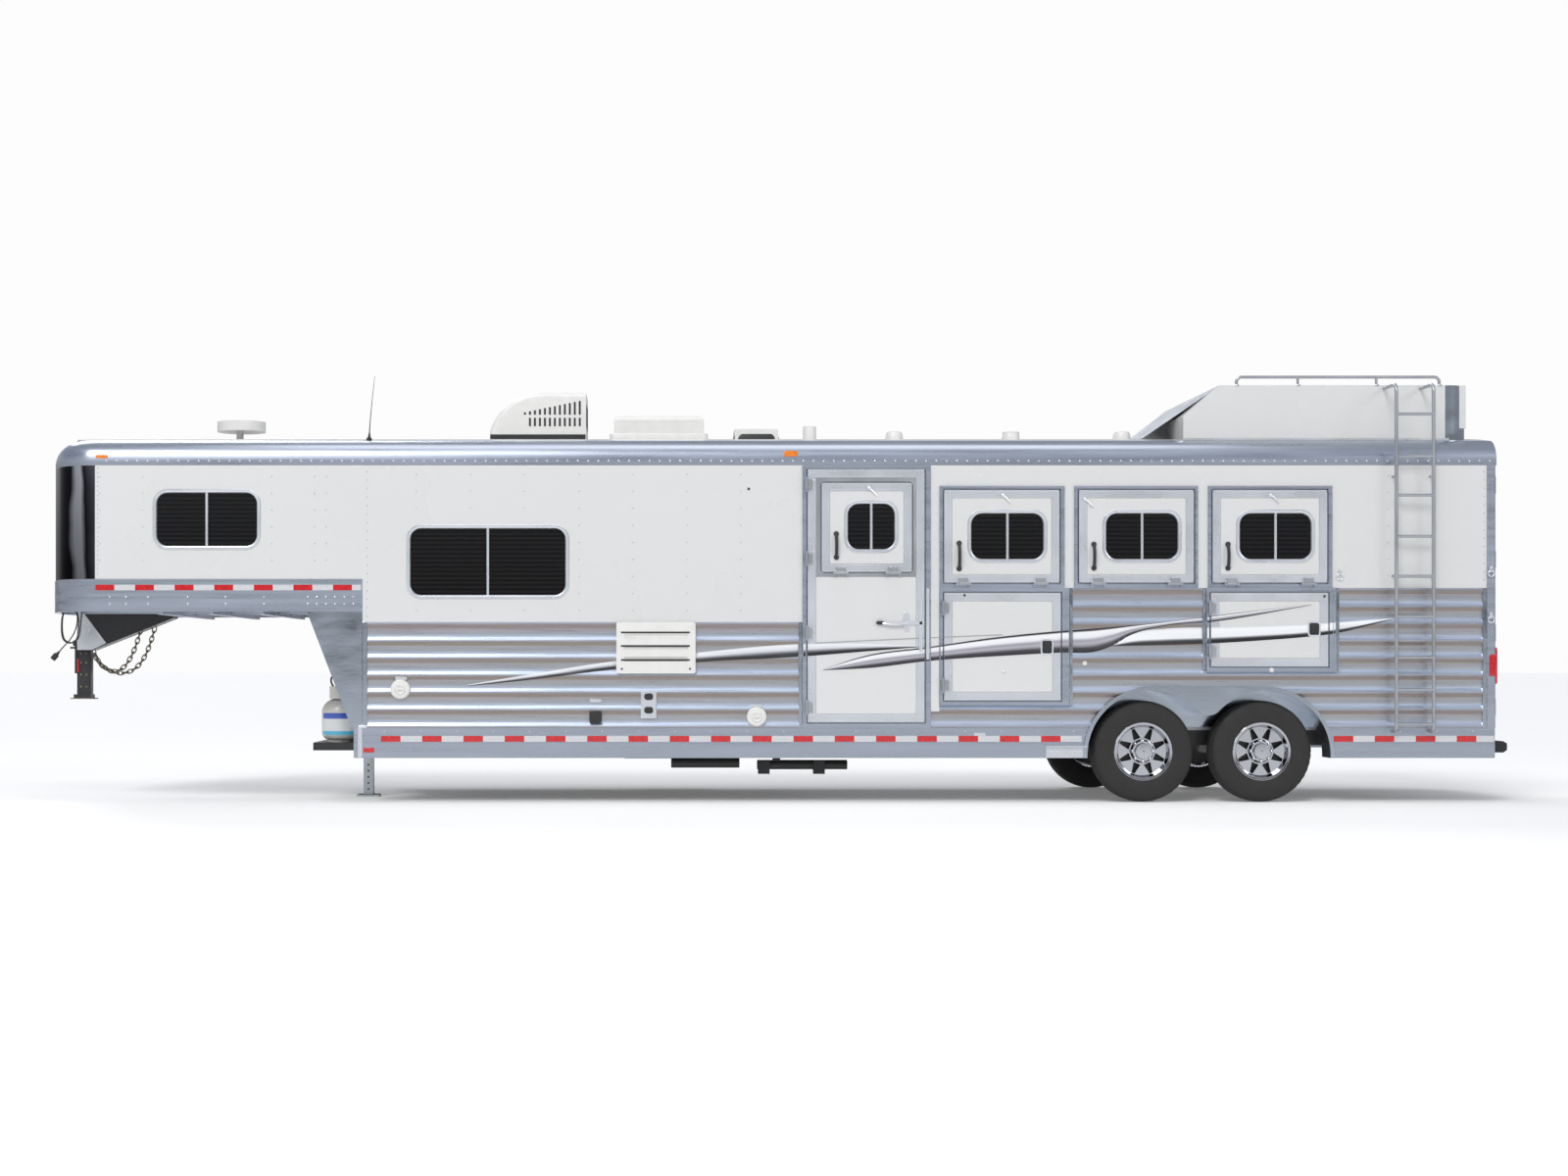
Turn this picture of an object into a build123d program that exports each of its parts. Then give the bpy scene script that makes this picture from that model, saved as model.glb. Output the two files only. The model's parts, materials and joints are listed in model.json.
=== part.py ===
"""Gooseneck horse trailer with living quarters, for four horses.

Millimetres. +X runs to the rear, +Z is up and the left side faces -Y. The origin is on the
ground, on the centre line, halfway along the trailer.
"""

import os
from math import atan2, degrees, radians, tan

from build123d import *

os.makedirs("parts", exist_ok=True)

# ---------------------------------------------------------------- driving dimensions
HALF_WIDTH = 1220
WALL = 40
TRIM = 12                      # how far frames and doors stand proud of the wall
NOSE_TIP_X = -5822
NOSE_SIDE_X = -5290            # where the straight side of the neck ends
NOSE_CORNER_R = 360
FRONT_X = -3190                # front of the main body
REAR_X = 5706
BULKHEAD_X = 180
HORSE_FRONT_X = 1274

RAIL_LOW_Z, RAIL_HIGH_Z = 350, 585
NECK_LOW_Z, NECK_HIGH_Z = 1501, 1756
FRONT_PLANK_TOP_Z, REAR_PLANK_TOP_Z = 1417, 1686
EAVES_Z, ROOF_EDGE_Z, ROOF_CROWN_Z = 2649, 2857, 2940
EAVES_R = 165
FLOOR = 25
NECK_FLOOR_Z = 1560

PLANK_PITCH = 135
PLANK_DEPTH = 13
PLANK_CREST = 16
PLANK_SLOPE = 26

WHEEL_XS = {"front": 2954, "rear": 3887}
TYRE_R, TYRE_WIDTH, TYRE_OUTER_Y = 400, 235, 1190
RIM_R = 216
SPINDLE_R = 30
HUB_CLEARANCE = 0.05
WELL_INNER_Y = 900
ARCH_CENTRES_X = (3010, 3905)
ARCH_CENTRE_Z, ARCH_R, ARCH_CUSP_R = 372, 507, 105
ARCH_SKIN = 8

GAP = 8                        # round every door and drop window
LEAF = 38                      # thickness of doors and drop windows
STOP = 8                       # thickness of the stop flange behind a door
STOP_LAP = 20
PIN_R, KNUCKLE_R, PIN_CLEARANCE = 6, 12, 0.05
PIN_STANDOFF = 18              # pin axis to the face that the hinge is fixed to
PIN_SIDE = 7                   # pin axis to the edge of the door

# Each opening: frame x0, x1, z0, z1 and leaf x0, x1, z0, z1
SIDE_DOOR = (268, 1274, 585, 2649, 307, 1227, 629, 2618)
STORAGE_FRONT = (1344, 2364, 762, 1686, 1378, 2297, 801, 1648)
STORAGE_REAR = (3439, 4458, 1024, 1686, 3473, 4397, 1067, 1648)
DROP_2 = (1344, 2325, 1686, 2487, 1378, 2287, 1726, 2456)
DROP_3 = (2402, 3373, 1686, 2487, 2437, 3342, 1726, 2456)
DROP_4 = (3453, 4428, 1686, 2487, 3486, 4389, 1726, 2456)
DROP_1 = (417, 1128, 1810, 2512)          # leaf only: it hangs in the side door
ENTRY_DOOR = (-1290, -390, 585, 2560, -1251, -437, 629, 2522)

DROP_GLASS_MARGIN = (215, 127, 187, 185)  # left, right, bottom, top of drop windows 2 to 4
DOOR_GLASS_MARGIN = (207, 137, 180, 166)
GLASS_CORNER_R = 85
GLASS = 6
BAR_PITCH = 95

NOSE_WINDOW = (-4806, -4018, 2016, 2434)
QUARTERS_WINDOW = (-2813, -1594, 1630, 2154)
HIP_WINDOW_XS = (1550, 2500, 3450, 4400)
HIP_WINDOW = (640, 1913, 2271)            # width, low z, high z

REAR_OPENING_Y, REAR_LOW_Z, REAR_HIGH_Z = 1130, 621, 2618
REAR_GLASS = (260, 860, 1830, 2330)

JACK_X, JACK_Y = -3244, -300
JACK_HOUSING, JACK_LEG, JACK_CLEARANCE = 100, 80, 3
JACK_HOUSING_Z = (330, 1150)
BALL_R = 29.6                  # socket for a ball of 58.7 mm
COUPLER_X, COUPLER_TUBE = -5652, 112
CHAIN_R = 16

LADDER_XS = (4905, 5196)
LADDER_Y, LADDER_R = -1312, 14
LADDER_RUNGS_Z = (618, 886, 1139, 1460, 1774, 2087, 2408, 2714, 3043)
POD_HALF_WIDTH, POD_WALL, POD_CORNER_R = 1000, 25, 168
POD_FRONT_X, POD_SLOPE_X, POD_REAR_X = 3310, 3595, 5589
POD_SHOULDER_Z, POD_TOP_Z = 3064, 3305

CORD_R = 5
CORD_LOOP_X, CORD_Y = -5680, -388


# ---------------------------------------------------------------- shared shapes
def body_plan(inset, back_x):
    """Plan of the body: straight sides, round front corners and a front bowed forward.

    The two corner arcs touch the sides and the bow, and all arcs are concentric for any inset.
    """
    half = HALF_WIDTH - NOSE_CORNER_R
    reach = NOSE_SIDE_X - NOSE_TIP_X
    # radius of the bow that touches both corner circles and passes through the tip
    bow_r = (reach**2 + half**2 - NOSE_CORNER_R**2) / (2 * (reach - NOSE_CORNER_R))
    bow_x = NOSE_TIP_X + bow_r
    lean = degrees(atan2(half, bow_x - NOSE_SIDE_X))
    corner = NOSE_CORNER_R - inset
    bow = bow_r - inset
    edge = HALF_WIDTH - inset
    with BuildSketch() as plan:
        with BuildLine():
            Line((back_x, -edge), (NOSE_SIDE_X, -edge))
            CenterArc((NOSE_SIDE_X, -half), corner, 270, -(90 - lean))
            CenterArc((bow_x, 0), bow, 180 + lean, -2 * lean)
            CenterArc((NOSE_SIDE_X, half), corner, 180 - lean, -(90 - lean))
            Line((NOSE_SIDE_X, edge), (back_x, edge))
            Line((back_x, edge), (back_x, -edge))
        make_face()
    return plan.sketch


def wall_plane(side, depth):
    """A plane on a side wall at this distance from the centre line, facing outwards.

    Its own x runs along side * X, so that x spans are mirrored on the right.
    """
    return Plane(origin=(0, side * depth, 0), x_dir=(-side, 0, 0), z_dir=(0, side, 0))


REAR_PLANE = Plane(origin=(REAR_X, 0, 0), x_dir=(0, 1, 0), z_dir=(1, 0, 0))


def slab(plane, span, low, high, thickness, corner=0, flip=1):
    """A flat plate on a plane: span and low to high in its own x and y, corners rounded."""
    width = abs(span[1] - span[0])
    with BuildPart() as plate:
        with BuildSketch(plane):
            with Locations((flip * (span[0] + span[1]) / 2, (low + high) / 2)):
                if corner:
                    RectangleRounded(width, high - low, corner)
                else:
                    Rectangle(width, high - low)
        extrude(amount=thickness)
    return plate.part


def box_between(low, high):
    """A box from its lowest to its highest corner."""
    size = [high[i] - low[i] for i in range(3)]
    with BuildPart() as block:
        with Locations(tuple((low[i] + high[i]) / 2 for i in range(3))):
            Box(*size)
    return block.part


def rod(start, end, radius):
    """A round bar between two points."""
    axis = Vector(*end) - Vector(*start)
    with BuildPart() as bar:
        with BuildSketch(Plane(origin=start, z_dir=axis)):
            Circle(radius)
        extrude(amount=axis.length)
    return bar.part


def bent_tube(points, radius, bend):
    """A round tube through points, with one bend radius at every corner."""
    with BuildPart() as tube:
        with BuildLine() as path:
            FilletPolyline(*points, radius=bend)
        with BuildSketch(Plane(origin=path.line @ 0, z_dir=path.line % 0)):
            Circle(radius)
        sweep()
    return tube.part


def opening_frame(plane, opening, flip=1, lap=STOP_LAP):
    """A frame flush with the doors: a rim through the wall, and a thin stop behind the leaf."""
    x0, x1, z0, z1, lx0, lx1, lz0, lz1 = opening
    depth = WALL + TRIM
    with BuildPart() as frame:
        add(slab(plane, (x0, x1), z0, z1, depth, flip=flip))
        inner = (lx0 - GAP, lx1 + GAP)
        stop_plane = plane.offset(STOP)
        add(slab(stop_plane, inner, lz0 - GAP, lz1 + GAP, depth, flip=flip), mode=Mode.SUBTRACT)
        clear = (lx0 + lap, lx1 - lap)
        add(slab(plane, clear, lz0 + lap, lz1 - lap, depth, flip=flip), mode=Mode.SUBTRACT)
    return frame.part


def hinge_fixed(half_length):
    """The fixed half of a hinge, about its own Z, with the door on +X and the wall on +Y."""
    knuckle = half_length / 3
    with BuildPart() as hinge:
        Cylinder(PIN_R, 2 * half_length)
        for end in (-1, 1):
            with Locations((0, 0, end * (half_length - knuckle / 2))):
                Cylinder(KNUCKLE_R, knuckle)
            with Locations((-14, PIN_STANDOFF / 2, end * (half_length - knuckle / 2))):
                Box(28, PIN_STANDOFF, knuckle)
    return hinge.part


def hinge_leaf(half_length):
    """The moving half: the middle knuckle and a strap to the door's face."""
    knuckle = 4 * half_length / 3 - 2
    with BuildPart() as hinge:
        Cylinder(KNUCKLE_R, knuckle)
        with Locations((22, PIN_STANDOFF / 2, 0)):
            Box(44, PIN_STANDOFF, knuckle)
        Cylinder(PIN_R + PIN_CLEARANCE, knuckle, mode=Mode.SUBTRACT)
    return hinge.part


def upright_hinge(side, x, z):
    """Location of a hinge on a side wall, its door running to the rear."""
    y = side * (HALF_WIDTH + TRIM + PIN_STANDOFF)
    return Plane(origin=(x, y, z), x_dir=(1, 0, 0), z_dir=(0, 0, -side)).location


def drop_hinge(x, z):
    """Location of a hinge below a drop window on the left wall, its leaf above."""
    y = -(HALF_WIDTH + TRIM + PIN_STANDOFF)
    return Plane(origin=(x, y, z), x_dir=(0, 0, 1), z_dir=(-1, 0, 0)).location


def rear_hinge(side, z):
    """Location of a hinge on the rear frame, its door running to the centre line."""
    y = side * (REAR_OPENING_Y - GAP + PIN_SIDE)
    x = REAR_X + TRIM + PIN_STANDOFF
    return Plane(origin=(x, y, z), x_dir=(0, -side, 0), z_dir=(0, 0, -side)).location


def door_hinge_heights(low, high, count):
    """Heights of hinges spread evenly, the end ones 120 from the door's ends."""
    step = (high - low - 240) / (count - 1)
    return [low + 120 + i * step for i in range(count)]


def arch_opening(grow=0):
    """Outline of the wheel opening: two arches with a rounded cusp between them."""
    low = RAIL_LOW_Z - 20
    with BuildSketch() as outline:
        for x in ARCH_CENTRES_X:
            with Locations((x, ARCH_CENTRE_Z)):
                Circle(ARCH_R)
        span = (ARCH_CENTRES_X[1] - ARCH_CENTRES_X[0]) / 2
        middle = sum(ARCH_CENTRES_X) / 2
        cusp_z = ARCH_CENTRE_Z + (ARCH_R**2 - span**2) ** 0.5
        cusp = outline.vertices().sort_by_distance((middle, cusp_z, 0))[0]
        fillet(cusp, ARCH_CUSP_R)
        with Locations((middle, (low + ARCH_CENTRE_Z) / 2)):
            Rectangle(2 * (span + ARCH_R), ARCH_CENTRE_Z - low)
        if grow:
            offset(amount=grow, kind=Kind.INTERSECTION)
        with Locations((middle, RAIL_LOW_Z - 500)):
            Rectangle(3000, 1000, mode=Mode.SUBTRACT)
    return outline.sketch


def arch_solid(side, y0, y1, grow=0):
    """The wheel opening as a solid between two distances from the centre line."""
    outline = arch_opening(grow)
    with BuildPart() as solid:
        with BuildSketch(Plane(origin=(0, side * y0, 0), x_dir=(1, 0, 0), z_dir=(0, -1, 0))):
            add(outline)
        extrude(amount=-side * (y1 - y0))
    return solid.part


def plank_profile(side, low, high):
    """Section of the plank wall in Y and Z: narrow crests and wide valleys, flat inside."""
    crest = HALF_WIDTH + 2
    valley = crest - PLANK_DEPTH
    points = [(HALF_WIDTH - WALL, low), (crest, low)]
    z = low
    while z + PLANK_PITCH <= high + 1:
        points.append((crest, z + PLANK_CREST))
        points.append((valley, z + PLANK_CREST + PLANK_SLOPE))
        points.append((valley, z + PLANK_PITCH - PLANK_SLOPE))
        points.append((crest, z + PLANK_PITCH))
        z += PLANK_PITCH
    points.append((crest, high))
    points.append((HALF_WIDTH - WALL, high))
    return [(side * y, z) for y, z in points]


def plank_wall(side, x0, x1, high):
    """Planks between two x positions, from the rail up."""
    with BuildPart() as wall:
        with BuildSketch(Plane.YZ.offset(x0)):
            with BuildLine():
                Polyline(*plank_profile(side, RAIL_HIGH_Z, high), close=True)
            make_face()
        extrude(amount=x1 - x0)
    return wall.part


def glass_span(leaf, margin):
    """Glass x0, x1, z0, z1 inside a leaf, from its left, right, bottom and top margins."""
    x0, x1, z0, z1 = leaf
    return x0 + margin[0], x1 - margin[1], z0 + margin[2], z1 - margin[3]


def window_hole(side, window, grow=0):
    """A rounded hole right through a side wall."""
    x0, x1, z0, z1 = window
    plane = wall_plane(side, HALF_WIDTH - WALL - 20)
    return slab(plane, (x0 - grow, x1 + grow), z0 - grow, z1 + grow, WALL + 80,
                corner=GLASS_CORNER_R + grow, flip=-side)


def window_pane(side, window, outer_y):
    """A pane that fills its hole."""
    x0, x1, z0, z1 = window
    plane = wall_plane(side, outer_y - GLASS)
    return slab(plane, (x0, x1), z0, z1, GLASS, corner=GLASS_CORNER_R, flip=-side)


# ---------------------------------------------------------------- chassis and floor
with BuildPart() as chassis_frame:
    for side in (-1, 1):
        add(box_between((FRONT_X - 40, side * 840 - 40, 440), (REAR_X - 6, side * 840 + 40, 560)))
    for i in range(15):
        x = FRONT_X + 60 + i * 610
        in_well = 2440 < x < 4460
        reach = 800 if in_well else 1165
        add(box_between((x - 30, -reach, 490), (x + 30, reach, 560)))
    # platform for the gas bottles, on two arms under the front wall
    add(box_between((-3690, -400, 380), (-3300, 400, 444)))
    for side in (-1, 1):
        add(box_between((-3500, side * 160 - 30, 384), (FRONT_X + 90, side * 160 + 30, 440)))
        add(box_between((FRONT_X + 30, side * 160 - 30, 430), (FRONT_X + 90, side * 160 + 30, 500)))
chassis_frame.part.label = "chassis_frame"
export_step(chassis_frame.part, "parts/chassis_frame.step")

with BuildPart() as side_rails:
    for side in (-1, 1):
        y0, y1 = sorted((side * 1170, side * 1226))
        add(box_between((-3257, y0, RAIL_LOW_Z), (REAR_X, y1, RAIL_HIGH_Z)))
        g0, g1 = sorted((side * 1221, side * 1230))
        add(box_between((-3300, g0, 466), (REAR_X + 10, g1, 473)), mode=Mode.SUBTRACT)
        add(arch_solid(side, 1100, 1300, ARCH_SKIN), mode=Mode.SUBTRACT)
side_rails.part.label = "side_rails"
export_step(side_rails.part, "parts/side_rails.step")

with BuildPart() as floor_deck:
    add(box_between((FRONT_X, -1170, RAIL_HIGH_Z - FLOOR), (REAR_X - 62, 1170, RAIL_HIGH_Z)))
    for side in (-1, 1):
        add(arch_solid(side, WELL_INNER_Y - ARCH_SKIN, 1300, ARCH_SKIN), mode=Mode.SUBTRACT)
    with BuildSketch(Plane.XY.offset(NECK_FLOOR_Z)):
        add(body_plan(WALL, FRONT_X + WALL))
    extrude(amount=30)
floor_deck.part.label = "floor_deck"
export_step(floor_deck.part, "parts/floor_deck.step")

with BuildPart() as neck_frame:
    # the rail round the nose, in two bands
    with BuildSketch(Plane.XY.offset(NECK_LOW_Z)):
        add(body_plan(-6, FRONT_X))
        add(body_plan(WALL, FRONT_X + 10), mode=Mode.SUBTRACT)
    extrude(amount=NECK_HIGH_Z - NECK_LOW_Z)
    with BuildSketch(Plane.XY.offset(1606)):
        add(body_plan(-10, FRONT_X + 10))
        add(body_plan(-1, FRONT_X + 20), mode=Mode.SUBTRACT)
    extrude(amount=7, mode=Mode.SUBTRACT)
    # cross members and two beams along the neck
    for i in range(4):
        x = -4800 + i * 400
        add(box_between((x - 25, -1140, NECK_LOW_Z - 20), (x + 25, 1140, NECK_FLOOR_Z)))
        add(box_between((x - 25, -1182, NECK_LOW_Z), (x + 25, 1182, NECK_FLOOR_Z)))
    for side in (-1, 1):
        y = side * 300
        add(box_between((-5600, y - 30, NECK_LOW_Z), (FRONT_X, y + 30, NECK_FLOOR_Z)))
    # gland of the trailer cord, and the hook that its loops hang on
    with Locations((CORD_LOOP_X + 88, CORD_Y, NECK_FLOOR_Z - 8)):
        Cylinder(13, 16)
    add(rod((CORD_LOOP_X, -340, NECK_FLOOR_Z), (CORD_LOOP_X, -340, 1529), 5))
    add(rod((CORD_LOOP_X, -335, 1529), (CORD_LOOP_X, -450, 1529), 5))
neck_frame.part.label = "neck_frame"
export_step(neck_frame.part, "parts/neck_frame.step")

with BuildPart() as front_wall:
    add(box_between((FRONT_X, -1180, RAIL_HIGH_Z), (FRONT_X + WALL, 1180, NECK_FLOOR_Z)))
front_wall.part.label = "front_wall"
export_step(front_wall.part, "parts/front_wall.step")

with BuildPart() as neck_gussets:
    for side in (-1, 1):
        y0, y1 = sorted((side * 1150, side * 1226))
        add(box_between((FRONT_X - 44, y0, RAIL_HIGH_Z), (FRONT_X, y1, NECK_LOW_Z)))
        with BuildSketch(Plane.XZ.offset(-side * 1150)):
            with BuildLine():
                Polyline((FRONT_X - 44, NECK_LOW_Z), (-3619, NECK_LOW_Z), (-3619, 1480),
                         (-3275, RAIL_HIGH_Z), (FRONT_X - 44, RAIL_HIGH_Z), close=True)
            make_face()
        extrude(amount=-side * 60)
neck_gussets.part.label = "neck_gussets"
export_step(neck_gussets.part, "parts/neck_gussets.step")

# ---------------------------------------------------------------- walls
for side, name in ((-1, "left"), (1, "right")):
    with BuildPart() as upper_wall:
        plane = wall_plane(side, HALF_WIDTH - WALL)
        flip = -side
        add(slab(plane, (NOSE_SIDE_X, FRONT_X), NECK_HIGH_Z, EAVES_Z, WALL, flip=flip))
        top = EAVES_Z
        if side < 0:
            add(slab(plane, (FRONT_X, 268), FRONT_PLANK_TOP_Z, top, WALL, flip=flip))
            add(slab(plane, (1274, 5644), REAR_PLANK_TOP_Z, top, WALL, flip=flip))
            add(slab(plane, (1274, 1344), 762, REAR_PLANK_TOP_Z, WALL, flip=flip))
            for frame in (DROP_2, DROP_3, DROP_4):
                hole = slab(plane, frame[0:2], frame[2], frame[3], WALL, flip=flip)
                add(hole, mode=Mode.SUBTRACT)
        else:
            add(slab(plane, (FRONT_X, HORSE_FRONT_X), FRONT_PLANK_TOP_Z, top, WALL, flip=flip))
            add(slab(plane, (HORSE_FRONT_X, 5644), REAR_PLANK_TOP_Z, top, WALL, flip=flip))
            hole = slab(plane, ENTRY_DOOR[0:2], 585, ENTRY_DOOR[3], WALL, flip=flip)
            add(hole, mode=Mode.SUBTRACT)
            for x in HIP_WINDOW_XS:
                window = (x, x + HIP_WINDOW[0], HIP_WINDOW[1], HIP_WINDOW[2])
                add(window_hole(side, window), mode=Mode.SUBTRACT)
        add(window_hole(side, NOSE_WINDOW), mode=Mode.SUBTRACT)
        add(window_hole(side, QUARTERS_WINDOW), mode=Mode.SUBTRACT)
    upper_wall.part.label = f"{name}_upper_wall"
    export_step(upper_wall.part, f"parts/{name}_upper_wall.step")

    with BuildPart() as lower_wall:
        if side < 0:
            add(plank_wall(side, FRONT_X, 268, FRONT_PLANK_TOP_Z))
            add(plank_wall(side, 1274, 5644, REAR_PLANK_TOP_Z))
            column = slab(plane, (1274, 1344), 762, REAR_PLANK_TOP_Z, WALL + 9, flip=flip)
            add(column, mode=Mode.SUBTRACT)
            for frame in (STORAGE_FRONT, STORAGE_REAR):
                hole = slab(plane, frame[0:2], frame[2], frame[3], WALL + 9, flip=flip)
                add(hole, mode=Mode.SUBTRACT)
        else:
            add(plank_wall(side, FRONT_X, HORSE_FRONT_X, FRONT_PLANK_TOP_Z))
            add(plank_wall(side, HORSE_FRONT_X, 5644, REAR_PLANK_TOP_Z))
            hole = slab(plane, ENTRY_DOOR[0:2], 585, FRONT_PLANK_TOP_Z, WALL + 9, flip=flip)
            add(hole, mode=Mode.SUBTRACT)
        add(arch_solid(side, 1100, 1300, ARCH_SKIN), mode=Mode.SUBTRACT)
    lower_wall.part.label = f"{name}_lower_wall"
    export_step(lower_wall.part, f"parts/{name}_lower_wall.step")

    with BuildPart() as fender:
        # lip on the wall, flat on top between the arches
        add(arch_solid(side, HALF_WIDTH + 6, HALF_WIDTH + 22, 30))
        add(arch_solid(side, HALF_WIDTH, HALF_WIDTH + 30), mode=Mode.SUBTRACT)
        with BuildSketch(Plane.XZ.offset(-side * (HALF_WIDTH + 6))):
            with Locations((sum(ARCH_CENTRES_X) / 2, 800)):
                Rectangle(ARCH_CENTRES_X[1] - ARCH_CENTRES_X[0], 218)
            arch = arch_opening()
            add(arch, mode=Mode.SUBTRACT)
        extrude(amount=-side * 16)
        # lining of the wheel well
        add(arch_solid(side, WELL_INNER_Y - ARCH_SKIN, HALF_WIDTH + 6, ARCH_SKIN))
        add(arch_solid(side, WELL_INNER_Y, HALF_WIDTH + 10), mode=Mode.SUBTRACT)
        low_gap = (2300, side * 700 - 300, 300), (4600, side * 700 + 205, RAIL_HIGH_Z)
        add(box_between(*low_gap), mode=Mode.SUBTRACT)
    fender.part.label = f"{name}_fender"
    export_step(fender.part, f"parts/{name}_fender.step")

with BuildPart() as nose_skin:
    with BuildSketch(Plane.XY.offset(NECK_HIGH_Z)):
        add(body_plan(0, NOSE_SIDE_X + 20))
        add(body_plan(WALL, NOSE_SIDE_X + 40), mode=Mode.SUBTRACT)
        with Locations((NOSE_SIDE_X + 50, 0)):
            Rectangle(100, 3 * HALF_WIDTH, mode=Mode.SUBTRACT)
    extrude(amount=EAVES_Z - NECK_HIGH_Z)
nose_skin.part.label = "nose_skin"
export_step(nose_skin.part, "parts/nose_skin.step")

with BuildPart() as partition_wall:
    add(box_between((BULKHEAD_X, -1180, RAIL_HIGH_Z), (BULKHEAD_X + WALL, 1180, EAVES_Z + 40)))
    add(box_between((BULKHEAD_X, -1050, EAVES_Z + 40), (BULKHEAD_X + WALL, 1050, 2817)))
partition_wall.part.label = "partition_wall"
export_step(partition_wall.part, "parts/partition_wall.step")

# ---------------------------------------------------------------- roof
def eaves_solid(inset):
    """The body's outline between the eaves and the roof's edge, its top edge rounded."""
    with BuildPart() as band:
        with BuildSketch(Plane.XY.offset(EAVES_Z)):
            add(body_plan(inset, REAR_X + 15))
        extrude(amount=ROOF_EDGE_Z - EAVES_Z - inset)
        top_edges = band.faces().sort_by(Axis.Z)[-1].edges()
        fillet(top_edges.sort_by(Axis.X)[:-1], EAVES_R - inset)
    return band.part


with BuildPart() as roof_rails:
    add(eaves_solid(0))
    add(eaves_solid(WALL), mode=Mode.SUBTRACT)
    with BuildSketch(Plane.XY.offset(EAVES_Z)):
        add(body_plan(EAVES_R, REAR_X + 15))
    extrude(amount=ROOF_EDGE_Z - EAVES_Z, mode=Mode.SUBTRACT)
roof_rails.part.label = "roof_rails"
export_step(roof_rails.part, "parts/roof_rails.step")


def crown_height(y):
    """Height of the roof's arc at this distance from the centre line."""
    edge = HALF_WIDTH - EAVES_R
    rise = ROOF_CROWN_Z - ROOF_EDGE_Z
    arc_r = (edge**2 + rise**2) / (2 * rise)
    return ROOF_CROWN_Z - arc_r + (arc_r**2 - y**2) ** 0.5


def crown_solid(drop):
    """The space under the roof's crown: arched across, and sloping down to the nose."""
    edge = HALF_WIDTH - EAVES_R + 40
    low = ROOF_EDGE_Z - WALL - 100
    nose_x = NOSE_TIP_X + EAVES_R - 40
    with BuildPart() as crown:
        with BuildSketch(Plane.YZ.offset(nose_x - 100)):
            with BuildLine():
                brow = crown_height(edge) - drop
                Line((edge, low), (edge, brow))
                ThreePointArc((edge, brow), (0, ROOF_CROWN_Z - drop), (-edge, brow))
                Polyline((-edge, brow), (-edge, low), (edge, low))
            make_face()
        extrude(amount=REAR_X + 200 - nose_x)
        # the fall starts a little above the crown, so that the two surfaces cross cleanly
        top = ROOF_CROWN_Z + 6 - drop
        with BuildSketch(Plane.XZ.offset(-2000)):
            with BuildLine():
                slope = Line((REAR_X + 150, top), (nose_x + 750, top))
                fall = TangentArc(slope @ 1, (nose_x, ROOF_EDGE_Z - 9 - drop), tangent=slope % 1)
                Polyline(fall @ 1, (nose_x, low - 50), (REAR_X + 150, low - 50), slope @ 0)
            make_face()
        extrude(amount=4000, mode=Mode.INTERSECT)
    return crown.part


with BuildPart() as roof_sheet:
    add(crown_solid(0))
    add(crown_solid(WALL), mode=Mode.SUBTRACT)
    with BuildSketch(Plane.XY.offset(ROOF_EDGE_Z - 200)):
        add(body_plan(EAVES_R, REAR_X + 15))
    extrude(amount=400, mode=Mode.INTERSECT)
roof_sheet.part.label = "roof_sheet"
export_step(roof_sheet.part, "parts/roof_sheet.step")


# ---------------------------------------------------------------- rear frame and bumper
with BuildPart() as rear_frame:
    add(box_between((REAR_X - 62, -1180, RAIL_HIGH_Z), (REAR_X + TRIM, 1180, EAVES_Z)))
    for side in (-1, 1):
        y0, y1 = sorted((side * 1170, side * 1226))
        add(box_between((REAR_X - 62, y0, RAIL_HIGH_Z), (REAR_X + TRIM, y1, EAVES_Z)))
    uprights = rear_frame.edges().filter_by(Axis.Z).group_by(Axis.X)[-1]
    fillet(uprights, 28)
    add(box_between((REAR_X - 62, -1180, EAVES_Z), (REAR_X - 2, 1180, EAVES_Z + 40)))
    add(box_between((REAR_X - 62, -1050, EAVES_Z + 40), (REAR_X - 2, 1050, 2817)))
    opening = (-REAR_OPENING_Y, REAR_OPENING_Y)
    rear_inside = REAR_PLANE.offset(-70)
    add(slab(rear_inside, opening, REAR_LOW_Z, REAR_HIGH_Z + GAP, 100), mode=Mode.SUBTRACT)
    add(slab(REAR_PLANE.offset(-62), opening, REAR_LOW_Z, REAR_LOW_Z + 28, 22))
    for side in (-1, 1):
        for z in door_hinge_heights(REAR_LOW_Z + GAP, REAR_HIGH_Z, 4):
            with Locations(rear_hinge(side, z)):
                add(hinge_fixed(66))
rear_frame.part.label = "rear_frame"
export_step(rear_frame.part, "parts/rear_frame.step")

with BuildPart() as rear_bumper:
    with BuildSketch(Plane.XZ.offset(-1150)):
        with BuildLine():
            Polyline((REAR_X, 390), (5800, 390), (5829, 410), (5829, 462), (5800, 480),
                     (REAR_X, 480), close=True)
        make_face()
    extrude(amount=2300)
rear_bumper.part.label = "rear_bumper"
export_step(rear_bumper.part, "parts/rear_bumper.step")

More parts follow.
